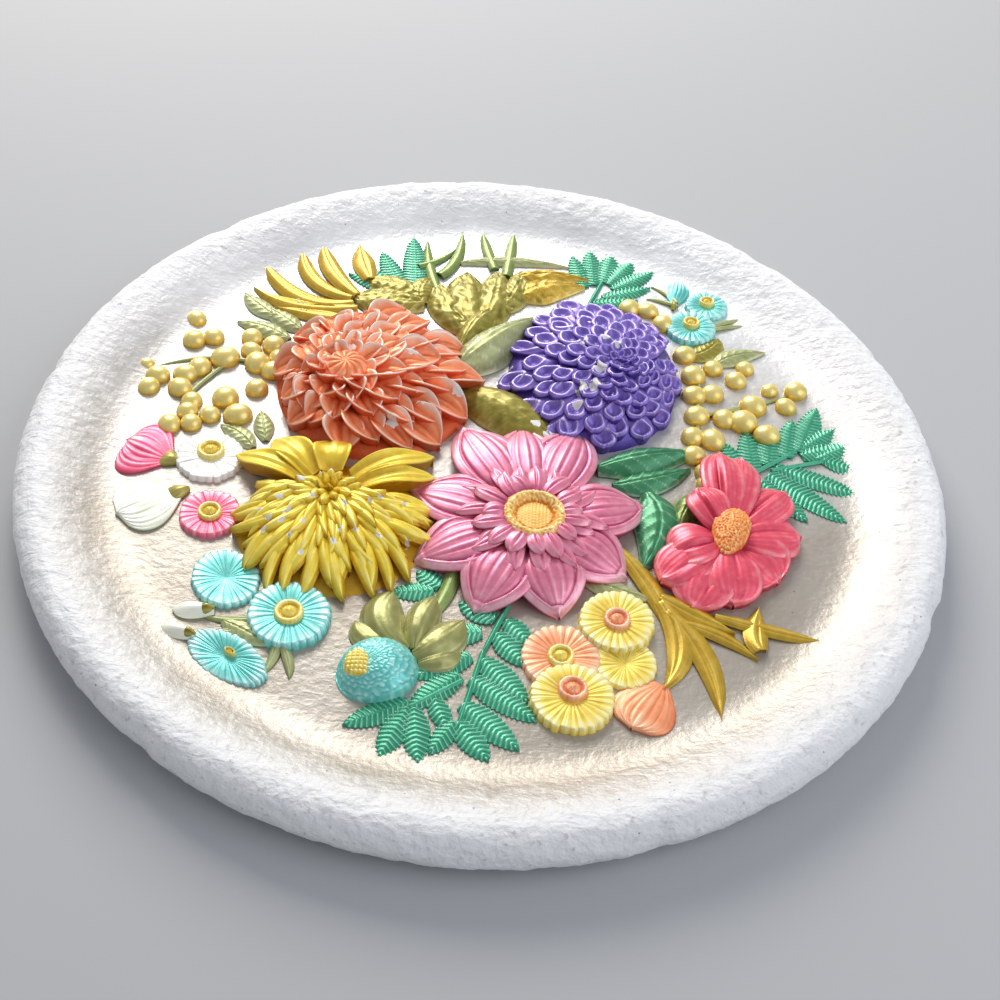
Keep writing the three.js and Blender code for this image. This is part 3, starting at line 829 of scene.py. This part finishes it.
def seed_disc(bm):
    """The pitted ring, and the well with its beads, on their own gold paint."""
    def place(share, angle):
        radius = SEED_RADIUS * share
        x, y = radius * cos(angle), radius * sin(angle)
        ring = swell(radius, 9.2, 2.2)
        inside = radius < 6
        beads = abs(cos(x * 2.6) * cos(y * 2.6 + (pi / 2 if int(x * 2.6 / pi) % 2 else 0))) if inside else 0
        pits = grain_at(x, y, 0.85, 3)
        height = PINK.top + 0.6 + 2.6 * ring + 0.9 * cos(pi / 2 * min(radius / 6, 1))
        height += 0.25 * beads if inside else 0.45 * pits
        if share > 0.97:
            height = PINK.top - 5
        groove = swell(radius, 6.4, 0.5)
        # Tone: darker in the groove and the pits as painted shade, lighter on the ring and the beads.
        return (Vector((PINK.axis[0] + x, PINK.axis[1] + y, height - 0.4 * groove)),
                0.35 + 0.2 * ring + 0.3 * beads - 0.5 * groove + (0 if inside else 0.8 * pits))

    disc(bm, 60, 190, place, 1)


bm = start_mesh()
PINK.core(bm, 2.5, 0.55)
for tip in PINK_TIPS:
    pink_petal(bm, *tip)
for count, tip, offset, rise in PINK_QUILLS:
    for at in range(count):
        pink_quill(bm, TURN * (at + offset + chance.uniform(-0.25, 0.25)) / count, tip, rise)
seed_disc(bm)
finish_piece(bm, "pink_dahlia", ["pink", "seed"])

# %% [markdown]
# ## Red flower
# Broad, smooth petals with waved edges, folded over each other, round a leaning cone of fine
# beads. Each petal has its own tip, so they are listed one by one.

# %% Red flower
# tip x and y, width, height in the middle, height at the tip, how hard it folds along its middle
RED_PETALS = ((108, -7, 16, 13, 10.5, 0.9), (111, -28, 19, 13, 10.5, 0.6), (72, -63, 21, 13, 10, 0.7),
              (86, -61, 20, 13.5, 10.5, 0.3), (102, -49, 24, 14, 11, -0.3), (62, -53, 18, 14, 11, 0.6),
              (65, -42, 18, 15.5, 12, 1.0), (92, 7, 16, 15, 12, 0.5), (84, 8, 15, 16.5, 13, 1.2),
              (75, -13, 14, 17, 15, 1.1))
CONE_AT = (86, -31)
CONE_HALF_LONG, CONE_HALF_WIDE, CONE_TURN = 11.5, 6.8, 1.35


def red_petal(bm, tip_x, tip_y, width, middle_height, tip_height, fold):
    axis = Vector((CONE_AT[0] - 1, CONE_AT[1] - 2, 12.5))
    end = Vector((tip_x, tip_y, tip_height))
    start, middle = axis.lerp(end, 0.12), axis.lerp(end, 0.58)
    middle.z = middle_height

    bowl = -0.8 if fold < 0 else 1.5

    def relief(u, v, inset):
        lip = swell(inset, 0.5, 0.7)
        crease = swell(v, 0.2, 0.14) * abs(fold) * sin(pi * min(u + 0.1, 1))
        wave = 0.3 * sin(5 * v + tip_x) * u
        fine = 0.06 * cos(pi * v * 9 + tip_x) * (1 - lip)
        lift = bowl * (1 - v * v) - 1.3 * crease + wave + 0.45 * lip + 1.2 * fine
        # Tone: darker in the crease and at the root as painted shade, lighter on the lip.
        return lift, (0.42 + 0.2 * lip - 0.5 * crease + fine + 0.1 * u) * smooth(u * 3)

    shape = {"root": 0.4, "peak": 0.58, "power": 2.4, "close": 0.55}
    tongue(bm, (start, middle, end), width, relief, shape, 26, 28, 0.7, 5)


def seed_cone(bm):
    def place(share, angle):
        along, wide = CONE_HALF_LONG * share * cos(angle), CONE_HALF_WIDE * share * sin(angle)
        wide *= 1 + 0.25 * cos(angle)
        x = CONE_AT[0] + along * cos(CONE_TURN) - wide * sin(CONE_TURN)
        y = CONE_AT[1] + along * sin(CONE_TURN) + wide * cos(CONE_TURN)
        beads = grain_at(x, y, 0.7, 7)
        height = 15 + 3.6 * max(1 - share ** 2.4, 0) + 0.5 * beads - (6 if share > 0.96 else 0)
        # Tone follows the beads: lighter on their tops and darker between them, as painted light and shade.
        return Vector((x, y, height)), 0.4 + 0.9 * beads

    disc(bm, 44, 150, place, 1)


bm = start_mesh()
for form in RED_PETALS:
    red_petal(bm, *form)
seed_cone(bm)
finish_piece(bm, "red_flower", ["red", "cone"])

# %% [markdown]
# ## Daisies
# Thin, flat flowers with many narrow, square-ended petals and an eye with a raised ring. One
# function makes them all; only place, size, colours and the way they lean differ. The leaning
# ones look to one side, so they are narrower and their eye is off the middle.

# %% Daisies
# x, y, radius, eye radius, paint, paint of the eye, lean towards x and y as a share of the radius, lift in mm
DAISIES = ((-98, -11, 12.5, 5.0, "white", "lemon", 0, 0.1, 0.4), (-93, -38, 11, 4.2, "rose", "lemon", 0, 0, 0.2),
           (-82.5, -66, 13, 0, "turquoise", "lemon", -0.2, -0.1, 0), (-59.5, -80, 14, 5, "turquoise", "lemon", 0, 0, 1.4),
           (-76.5, -98.5, 15.5, 2.2, "turquoise", "lemon", 0.5, 0.85, 0.2), (84, 97, 9, 3.2, "turquoise", "lemon", 0, 0.2, 0.6),
           (77, 82, 10.5, 3.5, "turquoise", "lemon", 0, 0.2, 1.2), (50, -88, 10.5, 0, "lemon", "lemon", 0, 0, 0),
           (29, -88, 13.5, 4.5, "peach", "lemon", 0, 0, 0.3), (47, -72, 13, 4.6, "lemon", "peach", 0, 0, 1.6),
           (33, -104, 14, 5, "lemon", "peach", 0, 0.1, 1.4))
DAISY_PAINTS = ["white", "rose", "turquoise", "peach", "lemon"]


def daisy(bm, x, y, radius, eye, paint, eye_paint, lean_x, lean_y, lift, seed):
    """Petals from one spun disc, and a small ringed eye that stands on it."""
    petals = round(radius * 1.9)
    lean = atan2(lean_y, lean_x)
    squeeze = 1 - 0.48 * min(hypot(lean_x, lean_y), 1)

    def leaned(reach, angle):
        near, wide = reach * cos(angle - lean) * squeeze, reach * sin(angle - lean)
        return near * cos(lean) - wide * sin(lean), near * sin(lean) + wide * cos(lean)

    def place(share, angle):
        turn = angle * petals / TURN + 0.25 * grain_at(cos(angle), sin(angle), 0.3, seed)
        crest = abs(sin(pi * turn)) ** 0.4
        ragged = grain_at(turn // 1 * 3.7, 0, 1, seed)
        notch = 0.06 * (1 - crest) * share ** 3 - 0.07 * ragged * share ** 4
        px, py = leaned(radius * share * (1 - notch), angle)
        fine = grain_at(angle * 26, share, 1, seed)
        tilt = (px * lean_x + py * lean_y) / radius * 1.6
        height = FACE + 0.8 + lift + 0.7 * sin(pi * min(share * 0.8, 1)) + 0.45 * crest * share + 0.3 * fine * share + tilt
        if share > 0.98:
            height = FACE - 2
        # Tone: lighter on each petal's crest and darker in the grooves between, as painted light and shade; darkest on
        # the sunk outer edge, as painted shade.
        tone = 0.1 + 0.36 * crest + 0.35 * fine + 0.32 * smooth(share * 3 - 1.7)
        return Vector((x + px, y + py, height)), tone * (0.3 if share > 0.98 else 1)

    disc(bm, 18, petals * 8, place, DAISY_PAINTS.index(paint))
    if not eye:
        return
    eye_x, eye_y = leaned(radius * 0.2 if lean_x or lean_y else 0, lean)

    def dome(share, angle):
        ring = swell(share, 0.8, 0.16)
        groove = swell(share, 0.55, 0.09)
        fine = grain_at(angle * 7, share * 4, 1, seed)
        px, py = leaned(share * eye, angle)
        height = FACE + 2.4 + lift + 0.7 * ring + 0.9 * swell(share, 0, 0.35) - 0.4 * groove + 0.2 * fine
        if share > 0.96:
            height -= 2
        # Tone: lighter on the ring, darker in the groove as painted shade.
        return Vector((x + eye_x + px, y + eye_y + py, height)), 0.45 + 0.3 * ring - 0.5 * groove + 0.35 * fine

    disc(bm, 18, 64, dome, DAISY_PAINTS.index(eye_paint))


bm = start_mesh()
for seed, flower in enumerate(DAISIES):
    daisy(bm, *flower, seed)
finish_piece(bm, "daisies", DAISY_PAINTS)

# %% [markdown]
# ## Flowers seen from the side
# Half-open flowers spread like a fan from a green cup. Each is a tongue that widens to its blunt
# end, with a groove between every two petals.

# %% Side flowers
# foot x and y, direction, length, width, number of petals, paint, whether it has a cup
SIDE_FLOWERS = ((-112.5, -13, 2.75, 17, 27, 10, "rose", True), (-106, -29, 3.75, 22, 23, 10, "pale_bloom", True),
                (61.5, -95.5, 4.2, 20, 20, 8, "peach", False), (71, 98, 1.4, 13, 9, 5, "turquoise", True))
SIDE_PAINTS = ["rose", "pale_bloom", "peach", "turquoise", "olive"]


def side_flower(bm, x, y, direction, length, width, petals, paint, cupped):
    way = Vector((cos(direction), sin(direction), 0))
    start = Vector((x, y, FACE + 1.0))
    end = start + way * length

    def relief(u, v, inset):
        turn = v * petals / 2 + 0.3 * grain_at(v, u, 0.4, x)
        crest = abs(sin(pi * turn)) ** 0.5
        fine = grain_at(v * 14, u, 1, x)
        lift = 1.2 * (1 - v * v) * sin(pi * min(u * 0.8, 1)) + (0.5 * crest + 0.3 * fine) * u
        # Tone: darker in the grooves between the petals as painted shade, lighter on their crests.
        return lift, 0.12 + 0.36 * crest + 0.35 * fine + 0.3 * smooth(u * 3 - 1.9)

    shape = {"root": 0.25, "peak": 0.62, "power": 2.2, "close": 0.45}
    tongue(bm, (start, end), width, relief, shape, 18, petals * 6, 0.5, 4, SIDE_PAINTS.index(paint))
    if not cupped:
        return

    def ribs(u, v, inset):
        rib = abs(cos(pi * v * 2.5))
        # Tone: lighter on the ribs, darker between them as painted shade.
        return 1.6 * (1 - v * v) * sin(pi * min(u + 0.15, 1)), 0.3 + 0.4 * rib

    tongue(bm, (start - way * 4, start + way * length * 0.22), width * 0.3, ribs,
           {"root": 0.3, "peak": 0.7, "power": 2.5, "close": 0.6}, 10, 12, 0.4, 4, SIDE_PAINTS.index("olive"))


bm = start_mesh()
for flower in SIDE_FLOWERS:
    side_flower(bm, *flower)
finish_piece(bm, "side_flowers", SIDE_PAINTS)

# %% [markdown]
# ## Berries and small buds
# Two loose bunches of round berries in gold pearl. Each is an icosphere sunk about halfway into
# the face, because a cast relief has no undercuts. Two closed buds stand at the lower left.

# %% Berries
# x, y, radius
BERRIES = ((-117, 63.5, 3.8), (-115.5, 51, 4.5), (-108.5, 53.5, 4.2), (-102, 42, 5.2), (-94, 55, 4.2), (-93, 47.5, 4),
           (-85, 51.5, 4.5), (-89.5, 40.5, 5), (-82, 44.5, 4), (-83, 37, 4.5), (-110.5, 35.5, 4.5), (-115, 31, 4.7),
           (-130.5, 35.5, 2.8), (-125, 29.5, 4.3), (-127, 23, 4), (-115.5, 23.5, 4.5), (-87.5, 26.5, 4.3),
           (-98, 20, 5), (-110, 17, 4), (-110.5, 11.5, 4), (-102, 10.5, 4), (-92, 11.5, 5), (-115.5, 4, 4.2),
           (-108, 5.5, 4), (52.5, 92, 4.5), (60, 91.5, 4), (66, 84, 4.5), (74, 66, 4.5), (85, 59.5, 4), (97.5, 61, 3.7),
           (93.5, 53.5, 4.3), (77, 54, 5), (84, 44.5, 4.5), (77, 43, 4.5), (106.5, 49.5, 3.3), (116.5, 50, 4.5),
           (112, 41, 4), (99.3, 39.5, 5), (77.5, 31.5, 4.7), (88, 31, 4.5), (95, 30, 5.5), (103.5, 24, 4.8),
           (75.5, 20, 4.5), (83, 19, 4.8), (75.5, 10, 4.5), (79.5, 2, 4), (79.5, -4, 3.5), (80, 118, 2.6),
           (84, 111, 2.6))
BUDS = (((-84, -80), (-97, -81), 6.5), ((-88, -91), (-99, -88), 5.5))


def berry(bm, x, y, radius):
    made = bmesh.ops.create_icosphere(bm, subdivisions=3, radius=radius)
    tones = bm.verts.layers.float["tone"]
    turn, stretch = chance.uniform(0, pi), chance.uniform(1.0, 1.14)
    for vert in made["verts"]:
        height = vert.co.z / radius
        # Tone: lighter towards the top and darker down where the berry meets the face, as painted highlight and painted
        # shade.
        vert[tones] = 0.1 + 0.62 * smooth(height + 0.35)
        along = vert.co.x * stretch
        px = along * cos(turn) - vert.co.y * sin(turn)
        py = along * sin(turn) + vert.co.y * cos(turn)
        vert.co = stand(x + px, y + py, FACE + 0.15 * radius + vert.co.z * 0.85)


def small_bud(bm, root, tip, width):
    start, end = Vector((*root, FACE + 1.2)), Vector((*tip, FACE + 1.2))

    # Both tones below are lighter on the folds and ribs and darker between them, as painted light and shade.
    def closed(u, v, inset):
        fold = abs(sin(pi * v * 2 + u))
        return 2.4 * (1 - v * v) * sin(pi * min(u * 0.8 + 0.2, 1)), 0.35 + 0.4 * fold

    def sepals(u, v, inset):
        return 2.9 * (1 - v * v) * sin(pi * min(u + 0.2, 1)), 0.4 + 0.3 * cos(pi * v * 3)

    shape = {"root": 0.5, "peak": 0.55, "power": 2.2, "close": 0.6}
    tongue(bm, (start, end), width, closed, shape, 14, 14, 0.4, 4, 1)
    tongue(bm, (start, start.lerp(end, 0.55)), width * 0.8, sepals, shape, 10, 12, 0.4, 4, 2)


bm = start_mesh()
for x, y, radius in BERRIES:
    berry(bm, x, y, radius)
for form in BUDS:
    small_bud(bm, *form)
finish_piece(bm, "berries", ["gold", "pale_bloom", "olive"])

# %% [markdown]
# ## Leaves
# Broad leaves rise to a crest along the middle and fall to a thin, waved edge. The middle vein
# is sunk and the side veins stand up as pale lines. The olive ones are crinkled as well.

# %% Leaves
# spine from stalk to tip, width, crest height, paint, crinkle in mm
LEAVES = (
    (((-30, 84), (-45, 84), (-58, 84)), 17, 12.5, "olive", 1.0), (((-32, 88), (-42, 93), (-54, 96)), 14, 12, "olive", 1.0),
    (((-31, 84), (-32, 92), (-29, 101)), 12, 12, "olive", 0.8),
    (((-10, 68), (-20, 82), (-25, 97)), 15, 13, "olive", 1.0), (((-9, 66), (-13, 86), (-14, 106)), 19, 13.5, "olive", 1.1),
    (((-6, 70), (-2, 90), (-2, 108)), 16, 13.5, "olive", 1.1), (((0, 84), (6, 95), (8, 110)), 13, 13, "olive", 1.0),
    (((8, 92), (18, 99), (34, 103)), 15, 13, "ochre", 0.9), (((4, 104), (18, 108), (36, 108)), 9, 12, "ochre", 0.7),
    (((-17, 113), (4, 117), (27, 116)), 6, 10.5, "pale", 0.3),
    (((-14, 44), (-1, 60), (16, 80)), 19, 18, "pale", 0.5), (((-14, 56), (-8, 72), (0, 84)), 11, 15, "olive", 0.7),
    (((-12, 32), (6, 24), (25, 10)), 21, 16, "olive", 0.7),
    (((40, -2), (58, 5), (76, 11)), 14, 14, "leaf", 0.2), (((46, -9), (60, -5), (74, 3)), 12, 12, "leaf", 0.3),
    (((58, -12), (62, -28), (56, -47)), 18, 13, "leaf", 0.4), (((78, -10), (72, -18), (68, -30)), 10, 13, "stem", 0.4),
    (((-24, -92), (-32, -87), (-38, -80)), 10, 12, "sepal", 0.2), (((-16, -95), (-10, -93), (-3, -89)), 10, 12, "sepal", 0.2),
    (((-20, -90), (-29, -80), (-27, -66)), 14, 13.5, "sepal", 0.2), (((-18, -92), (-11, -87), (-3, -76)), 14, 13.5, "sepal", 0.2),
    (((-18, -90), (-17, -79), (-13, -67)), 11, 14, "sepal", 0.2),
    (((-76, 62), (-84, 68), (-91, 74)), 9, 11, "pale", 0.2), (((-80, 56), (-90, 61), (-101, 64)), 9, 11, "pale", 0.2),
    (((-86, 68), (-95, 75), (-101, 82)), 8, 10.5, "pale", 0.2), (((-76, 70), (-78, 78), (-83, 84)), 7, 10.5, "pale", 0.2),
    (((-84, -4), (-90, 2), (-97, 6)), 8, 10.5, "pale", 0.2), (((-80, 0), (-82, 8), (-84, 15)), 7, 10.5, "pale", 0.2),
    (((86, 62), (94, 68), (106, 72)), 9, 10.5, "pale", 0.2), (((76, 66), (83, 70), (88, 78)), 10, 10.5, "olive", 0.2),
    (((34, -52), (46, -57), (58, -60)), 8, 10.5, "pale", 0.2), (((-80, -84), (-72, -88), (-64, -92)), 8, 10.5, "pale", 0.2),
)
LEAF_PAINTS = ["olive", "ochre", "pale", "leaf", "stem", "sepal"]


POINTED = {"root": 0.3, "peak": 0.42, "power": 1.6, "close": 0.8}
LEAF_SHAPES = {"olive": {"root": 0.45, "peak": 0.5, "power": 2.0, "close": 0.6},
               "sepal": {"root": 0.4, "peak": 0.6, "power": 2.2, "close": 0.7}}


def leaf(bm, spine, width, crest, paint, crinkle):
    points = [Vector((x, y, FACE + 0.6)) for x, y in spine]
    seed = spine[0][0]

    def relief(u, v, inset):
        middle = swell(v, 0, 0.06)
        lip = 1 - smooth(inset / 0.8)
        if paint == "sepal":
            side_vein = max(cos(pi * v * 5), 0) ** 3 * sin(pi * u)
        else:
            side_vein = max(cos(TURN * (6.5 * u - 1.2 * abs(v))), 0) ** 8 * (1 - middle) * (1 - lip)
        fold = abs(grain_at(u * width * 1.2, v * width * 0.5, 3.0, seed))
        fine = grain_at(u * width * 1.4, v * width * 0.7, 0.8, seed)
        rough = crinkle * (0.6 - 2.4 * fold + 0.35 * fine)
        dome = (1 - v * v) ** 0.8 * sin(pi * min(0.15 + 0.8 * u, 1)) ** 0.7
        lift = (crest - FACE - 0.6) * dome - 0.4 * middle + 0.3 * side_vein + 0.5 * rough * (1 - lip) + 0.15 * lip
        # Tone: the sunk middle vein is darkened as painted shade; the raised crinkles and the lip are lightened, partly
        # as painted highlight.
        return lift, 0.36 + 0.32 * side_vein - 0.25 * middle + 0.3 * rough + 0.3 * lip

    tongue(bm, points, width, relief, LEAF_SHAPES.get(paint, POINTED), 40, 22, 0.4, 4, LEAF_PAINTS.index(paint))


bm = start_mesh()
for form in LEAVES:
    leaf(bm, *form)
chip_paint(bm, ((24, 12, 4), (17, 16, 2)))
finish_piece(bm, "leaves", LEAF_PAINTS)

# %% [markdown]
# ## Ferns
# A fern leaflet is a flat tongue with a toothed edge. Fine ribs slant out from its middle line;
# the brush caught only their tops, so they show as pale stripes on green. The leaflets of one
# frond share a stalk, which is a thin raised line.

# %% Ferns
# foot x and y, tip x and y, width
FERNS = (
    (-34, 92, -38, 128, 10), (-40, 92, -50, 116, 9), (-42, 92, -58, 106, 8), (-42, 90, -62, 100, 7),
    (34, 104, 29, 124, 8), (38, 106, 36, 131, 8), (42, 108, 47, 134, 8), (44, 107, 57, 128, 8), (46, 104, 64, 119, 8),
    (42, 98, 61, 107, 8), (38, 94, 56, 98, 8),
    (92, 3, 87, 19, 9), (97, 5, 96, 26, 9), (103, 9, 106, 30, 9), (110, 14, 114, 34, 9), (115, 17, 124, 42, 10),
    (117, 19, 130, 31, 8), (116, 15, 131, 21, 9), (122, 14, 144, 29, 9), (124, 14, 140, 8, 8),
    (106, 8, 138, -4, 9), (103, 4, 129, -17, 10), (100, 0, 115, -18, 9),
    (-3, -116, -10, -128, 7), (-2, -116, 8, -129, 9), (-1, -109, 17, -124, 10), (1, -99, 22, -113, 10),
    (4, -91, 19, -106, 10), (8, -80, 18, -92, 9), (11, -74, 19, -83, 8),
    (-3, -98, -18, -112, 9), (0, -90, -17, -100, 9), (3, -80, -10, -82, 9), (7, -74, -5, -68, 9),
    (-18, -110, -37, -120, 9), (-18, -112, -25, -131, 9), (-16, -112, -13, -132, 9), (-10, -108, -5, -119, 7),
    (-14, -64, -28, -66, 8), (-12, -62, -20, -56, 8),
)
FERN_STALKS = ((14, -60, 4, -88), (4, -88, -2, -118), (-2, -100, -18, -112), (88, -4, 117, 20), (104, 6, 126, 14),
               (36, 92, 42, 110))
RIB_PITCH = 1.7


def fern_leaflet(bm, foot_x, foot_y, tip_x, tip_y, width):
    start, end = Vector((foot_x, foot_y, FACE + 0.6)), Vector((tip_x, tip_y, FACE + 0.4))
    ribs = (end - start).length / RIB_PITCH
    cells = max(round(ribs * 6), 20)
    along = (end - start).normalized()
    across = Vector((-along.y, along.x, 0))

    def top(u, v):
        rib = max(cos(TURN * (ribs * u - 0.9 * abs(v))), 0) ** 1.5
        middle = swell(v, 0, 0.09)
        tooth = 0.86 + 0.14 * (0.5 + 0.5 * cos(TURN * (ribs * u - 0.9)))
        half = outline(u, 0.5, 0.4, 1.8, 0.7) * width / 2 * tooth
        point = start.lerp(end, u) + across * half * v
        point.z += 0.45 * rib * (1 - middle) + 0.2 * middle + 0.5 * (1 - v * v)
        return point, along, across, 0.2 + 0.6 * rib * (1 - middle) + 0.1 * middle

    patch(bm, cells, 12, top, 0.3, 4)


def stalk(bm, foot_x, foot_y, tip_x, tip_y):
    start, end = Vector((foot_x, foot_y, FACE + 1.2)), Vector((tip_x, tip_y, FACE + 0.9))
    tongue(bm, (start, end), 1.3, lambda u, v, inset: (0.6 * (1 - v * v), 0.4), {"root": 0.9, "close": 0.3}, 20, 6, 0.3, 4)


bm = start_mesh()
for leaflet in FERNS:
    fern_leaflet(bm, *leaflet)
for line in FERN_STALKS:
    stalk(bm, *line)
finish_piece(bm, "ferns", ["fern"])

# %% [markdown]
# ## Blades and stems
# Long ochre blades curl away at both sides of the bouquet, and short green stems stick out at
# the top. They are narrow tongues with a folded middle.

# %% Blades and stems
# spine from foot to tip, width, paint
BLADES = (
    (((-58, 80), (-82, 84), (-103, 113)), 8, "ochre"), (((-59, 83), (-77, 96), (-84, 123)), 7, "ochre"),
    (((-57, 85), (-70, 103), (-76, 124)), 8, "ochre"), (((-53, 96), (-57, 108), (-60, 119)), 9, "ochre"),
    (((-56, 77), (-80, 77), (-98, 85)), 8, "ochre"), (((-60, 70), (-72, 72), (-88, 74)), 8, "ochre"),
    (((48, -40), (60, -58), (66, -76)), 7, "ochre"), (((62, -62), (68, -80), (62, -97)), 9, "ochre"),
    (((64, -66), (76, -84), (80, -107)), 8, "ochre"), (((62, -60), (74, -66), (86, -72)), 8, "ochre"),
    (((80, -66), (100, -70), (118, -73)), 5, "ochre"), (((94, -79), (93, -71), (95, -60)), 8, "ochre"),
    (((68, -70), (82, -74), (93, -82)), 5, "ochre"),
    (((-24, 90), (-30, 110), (-32, 127)), 4, "stem"), (((-25, 103), (-19, 116), (-18, 136)), 4.5, "stem"),
    (((-34, 108), (-26, 114), (-20, 122)), 3, "stem"), (((-3, 110), (-7, 124), (-10, 137)), 4, "stem"),
    (((2, 106), (3, 122), (4, 140)), 4.5, "stem"), (((-8, -56), (-10, -66), (-16, -80)), 5, "stem"),
    (((-64, -80), (-76, -83), (-88, -82)), 3, "pale"), (((-64, -82), (-78, -88), (-92, -90)), 3, "pale"),
    (((-62, -90), (-62, -96), (-64, -103)), 3, "pale"), (((-60, -92), (-57, -98), (-56, -104)), 3, "pale"),
    (((-100, 40), (-112, 20), (-112, 8)), 1.6, "pale"), (((-86, 40), (-108, 42), (-128, 34)), 1.6, "pale"),
    (((80, 60), (78, 30), (77, 4)), 1.8, "pale"), (((80, 32), (98, 40), (114, 48)), 1.8, "pale"),
    (((72, 98), (68, 104), (62, 108)), 1.8, "pale"), (((72, 96), (66, 99), (60, 100)), 1.8, "pale"),
    (((84, 82), (92, 86), (101, 88)), 1.8, "pale"), (((84, 84), (94, 90), (100, 92)), 1.8, "pale"),
    (((86, 104), (90, 110), (97, 114)), 1.8, "pale"), (((88, 100), (95, 104), (103, 106)), 1.8, "pale"),
)
BLADE_PAINTS = ["ochre", "stem", "pale"]


def blade(bm, spine, width, paint):
    thick = min(width * 0.22, 1.6)
    points = [Vector((x, y, FACE + height)) for (x, y), height in zip(spine, (1.6, 0.9, 0.3))]
    crease = 0.0 if paint == "stem" else 0.6

    def relief(u, v, inset):
        fold = swell(v, -0.15, 0.13) * sin(pi * min(u * 0.9 + 0.1, 1))
        streak = 0.12 * cos(pi * v * 6 + 3 * u)
        lift = thick * (1 - abs(v) ** 1.6) - crease * fold * thick
        # Tone: lighter along the rounded middle and darker in the fold, as painted light and shade.
        return lift, 0.3 + 0.3 * (1 - abs(v)) - crease * 0.5 * fold + streak

    shape = {"root": 0.9 if paint == "stem" else 0.6, "peak": 0.45, "power": 1.8, "close": 0.9}
    tongue(bm, points, width, relief, shape, 30, 12, 0.3, 4, BLADE_PAINTS.index(paint))


bm = start_mesh()
for form in BLADES:
    blade(bm, *form)
finish_piece(bm, "blades_and_stems", BLADE_PAINTS)

# %% [markdown]
# ## Turquoise bud
# A fat, half-open flower at the bottom, covered in small overlapping scales, with a beaded
# yellow heart that looks down to the left.

# %% Turquoise bud
BUD_CENTRE = (-28.5, -99)
BUD_HEART = (-33.5, -100.5)
BUD_HALF_LENGTH, BUD_HALF_WIDTH, BUD_RISE = 14, 12, 8.5
BUD_TURN = 0.5
SCALE_ROWS, SCALES_ROUND = 9, 26


def bud_body(share, angle):
    row = share * SCALE_ROWS + 0.7 * grain_at(share * 5 * cos(angle), share * 5 * sin(angle), 0.8)
    turn = angle * SCALES_ROUND / TURN + 0.5 * (int(row) % 2) + 0.4 * grain_at(cos(angle), sin(angle), 0.2, row // 1)
    scale = (row % 1) * (1 - 0.7 * abs(2 * (turn % 1) - 1))
    along, wide = share * BUD_HALF_LENGTH * cos(angle), share * BUD_HALF_WIDTH * sin(angle)
    x = mix(BUD_HEART[0], BUD_CENTRE[0], share) + along * cos(BUD_TURN) - wide * sin(BUD_TURN)
    y = mix(BUD_HEART[1], BUD_CENTRE[1], share) + along * sin(BUD_TURN) + wide * cos(BUD_TURN)
    away = hypot(x - BUD_CENTRE[0], y - BUD_CENTRE[1]) / (BUD_HALF_LENGTH + BUD_HALF_WIDTH) * 2
    height = FACE + 0.5 + BUD_RISE * max(1 - away ** 2.4, 0) ** 0.8 + 0.45 * scale - (3 if share > 0.97 else 0)
    # Tone: lighter on the raised edge of each scale and darker at the step under it, as painted light and shade.
    return Vector((x, y, height)), 0.32 + 0.55 * scale


def bud_heart(share, angle):
    px, py = 5.8 * share * cos(angle), 5.4 * share * sin(angle)
    beads = abs(cos(px * 2.2) * cos(py * 2.2))
    height = FACE + BUD_RISE - 1.2 + 1.6 * (1 - share ** 2) + 0.5 * beads - (3 if share > 0.95 else 0)
    # Tone: lighter on the beads and darker between them, as painted light and shade.
    return Vector((BUD_HEART[0] + px, BUD_HEART[1] + py, height)), 0.25 + 0.6 * beads


bm = start_mesh()
disc(bm, 72, 234, bud_body)
disc(bm, 26, 90, bud_heart, 1)
finish_piece(bm, "turquoise_bud", ["turquoise", "lemon"])
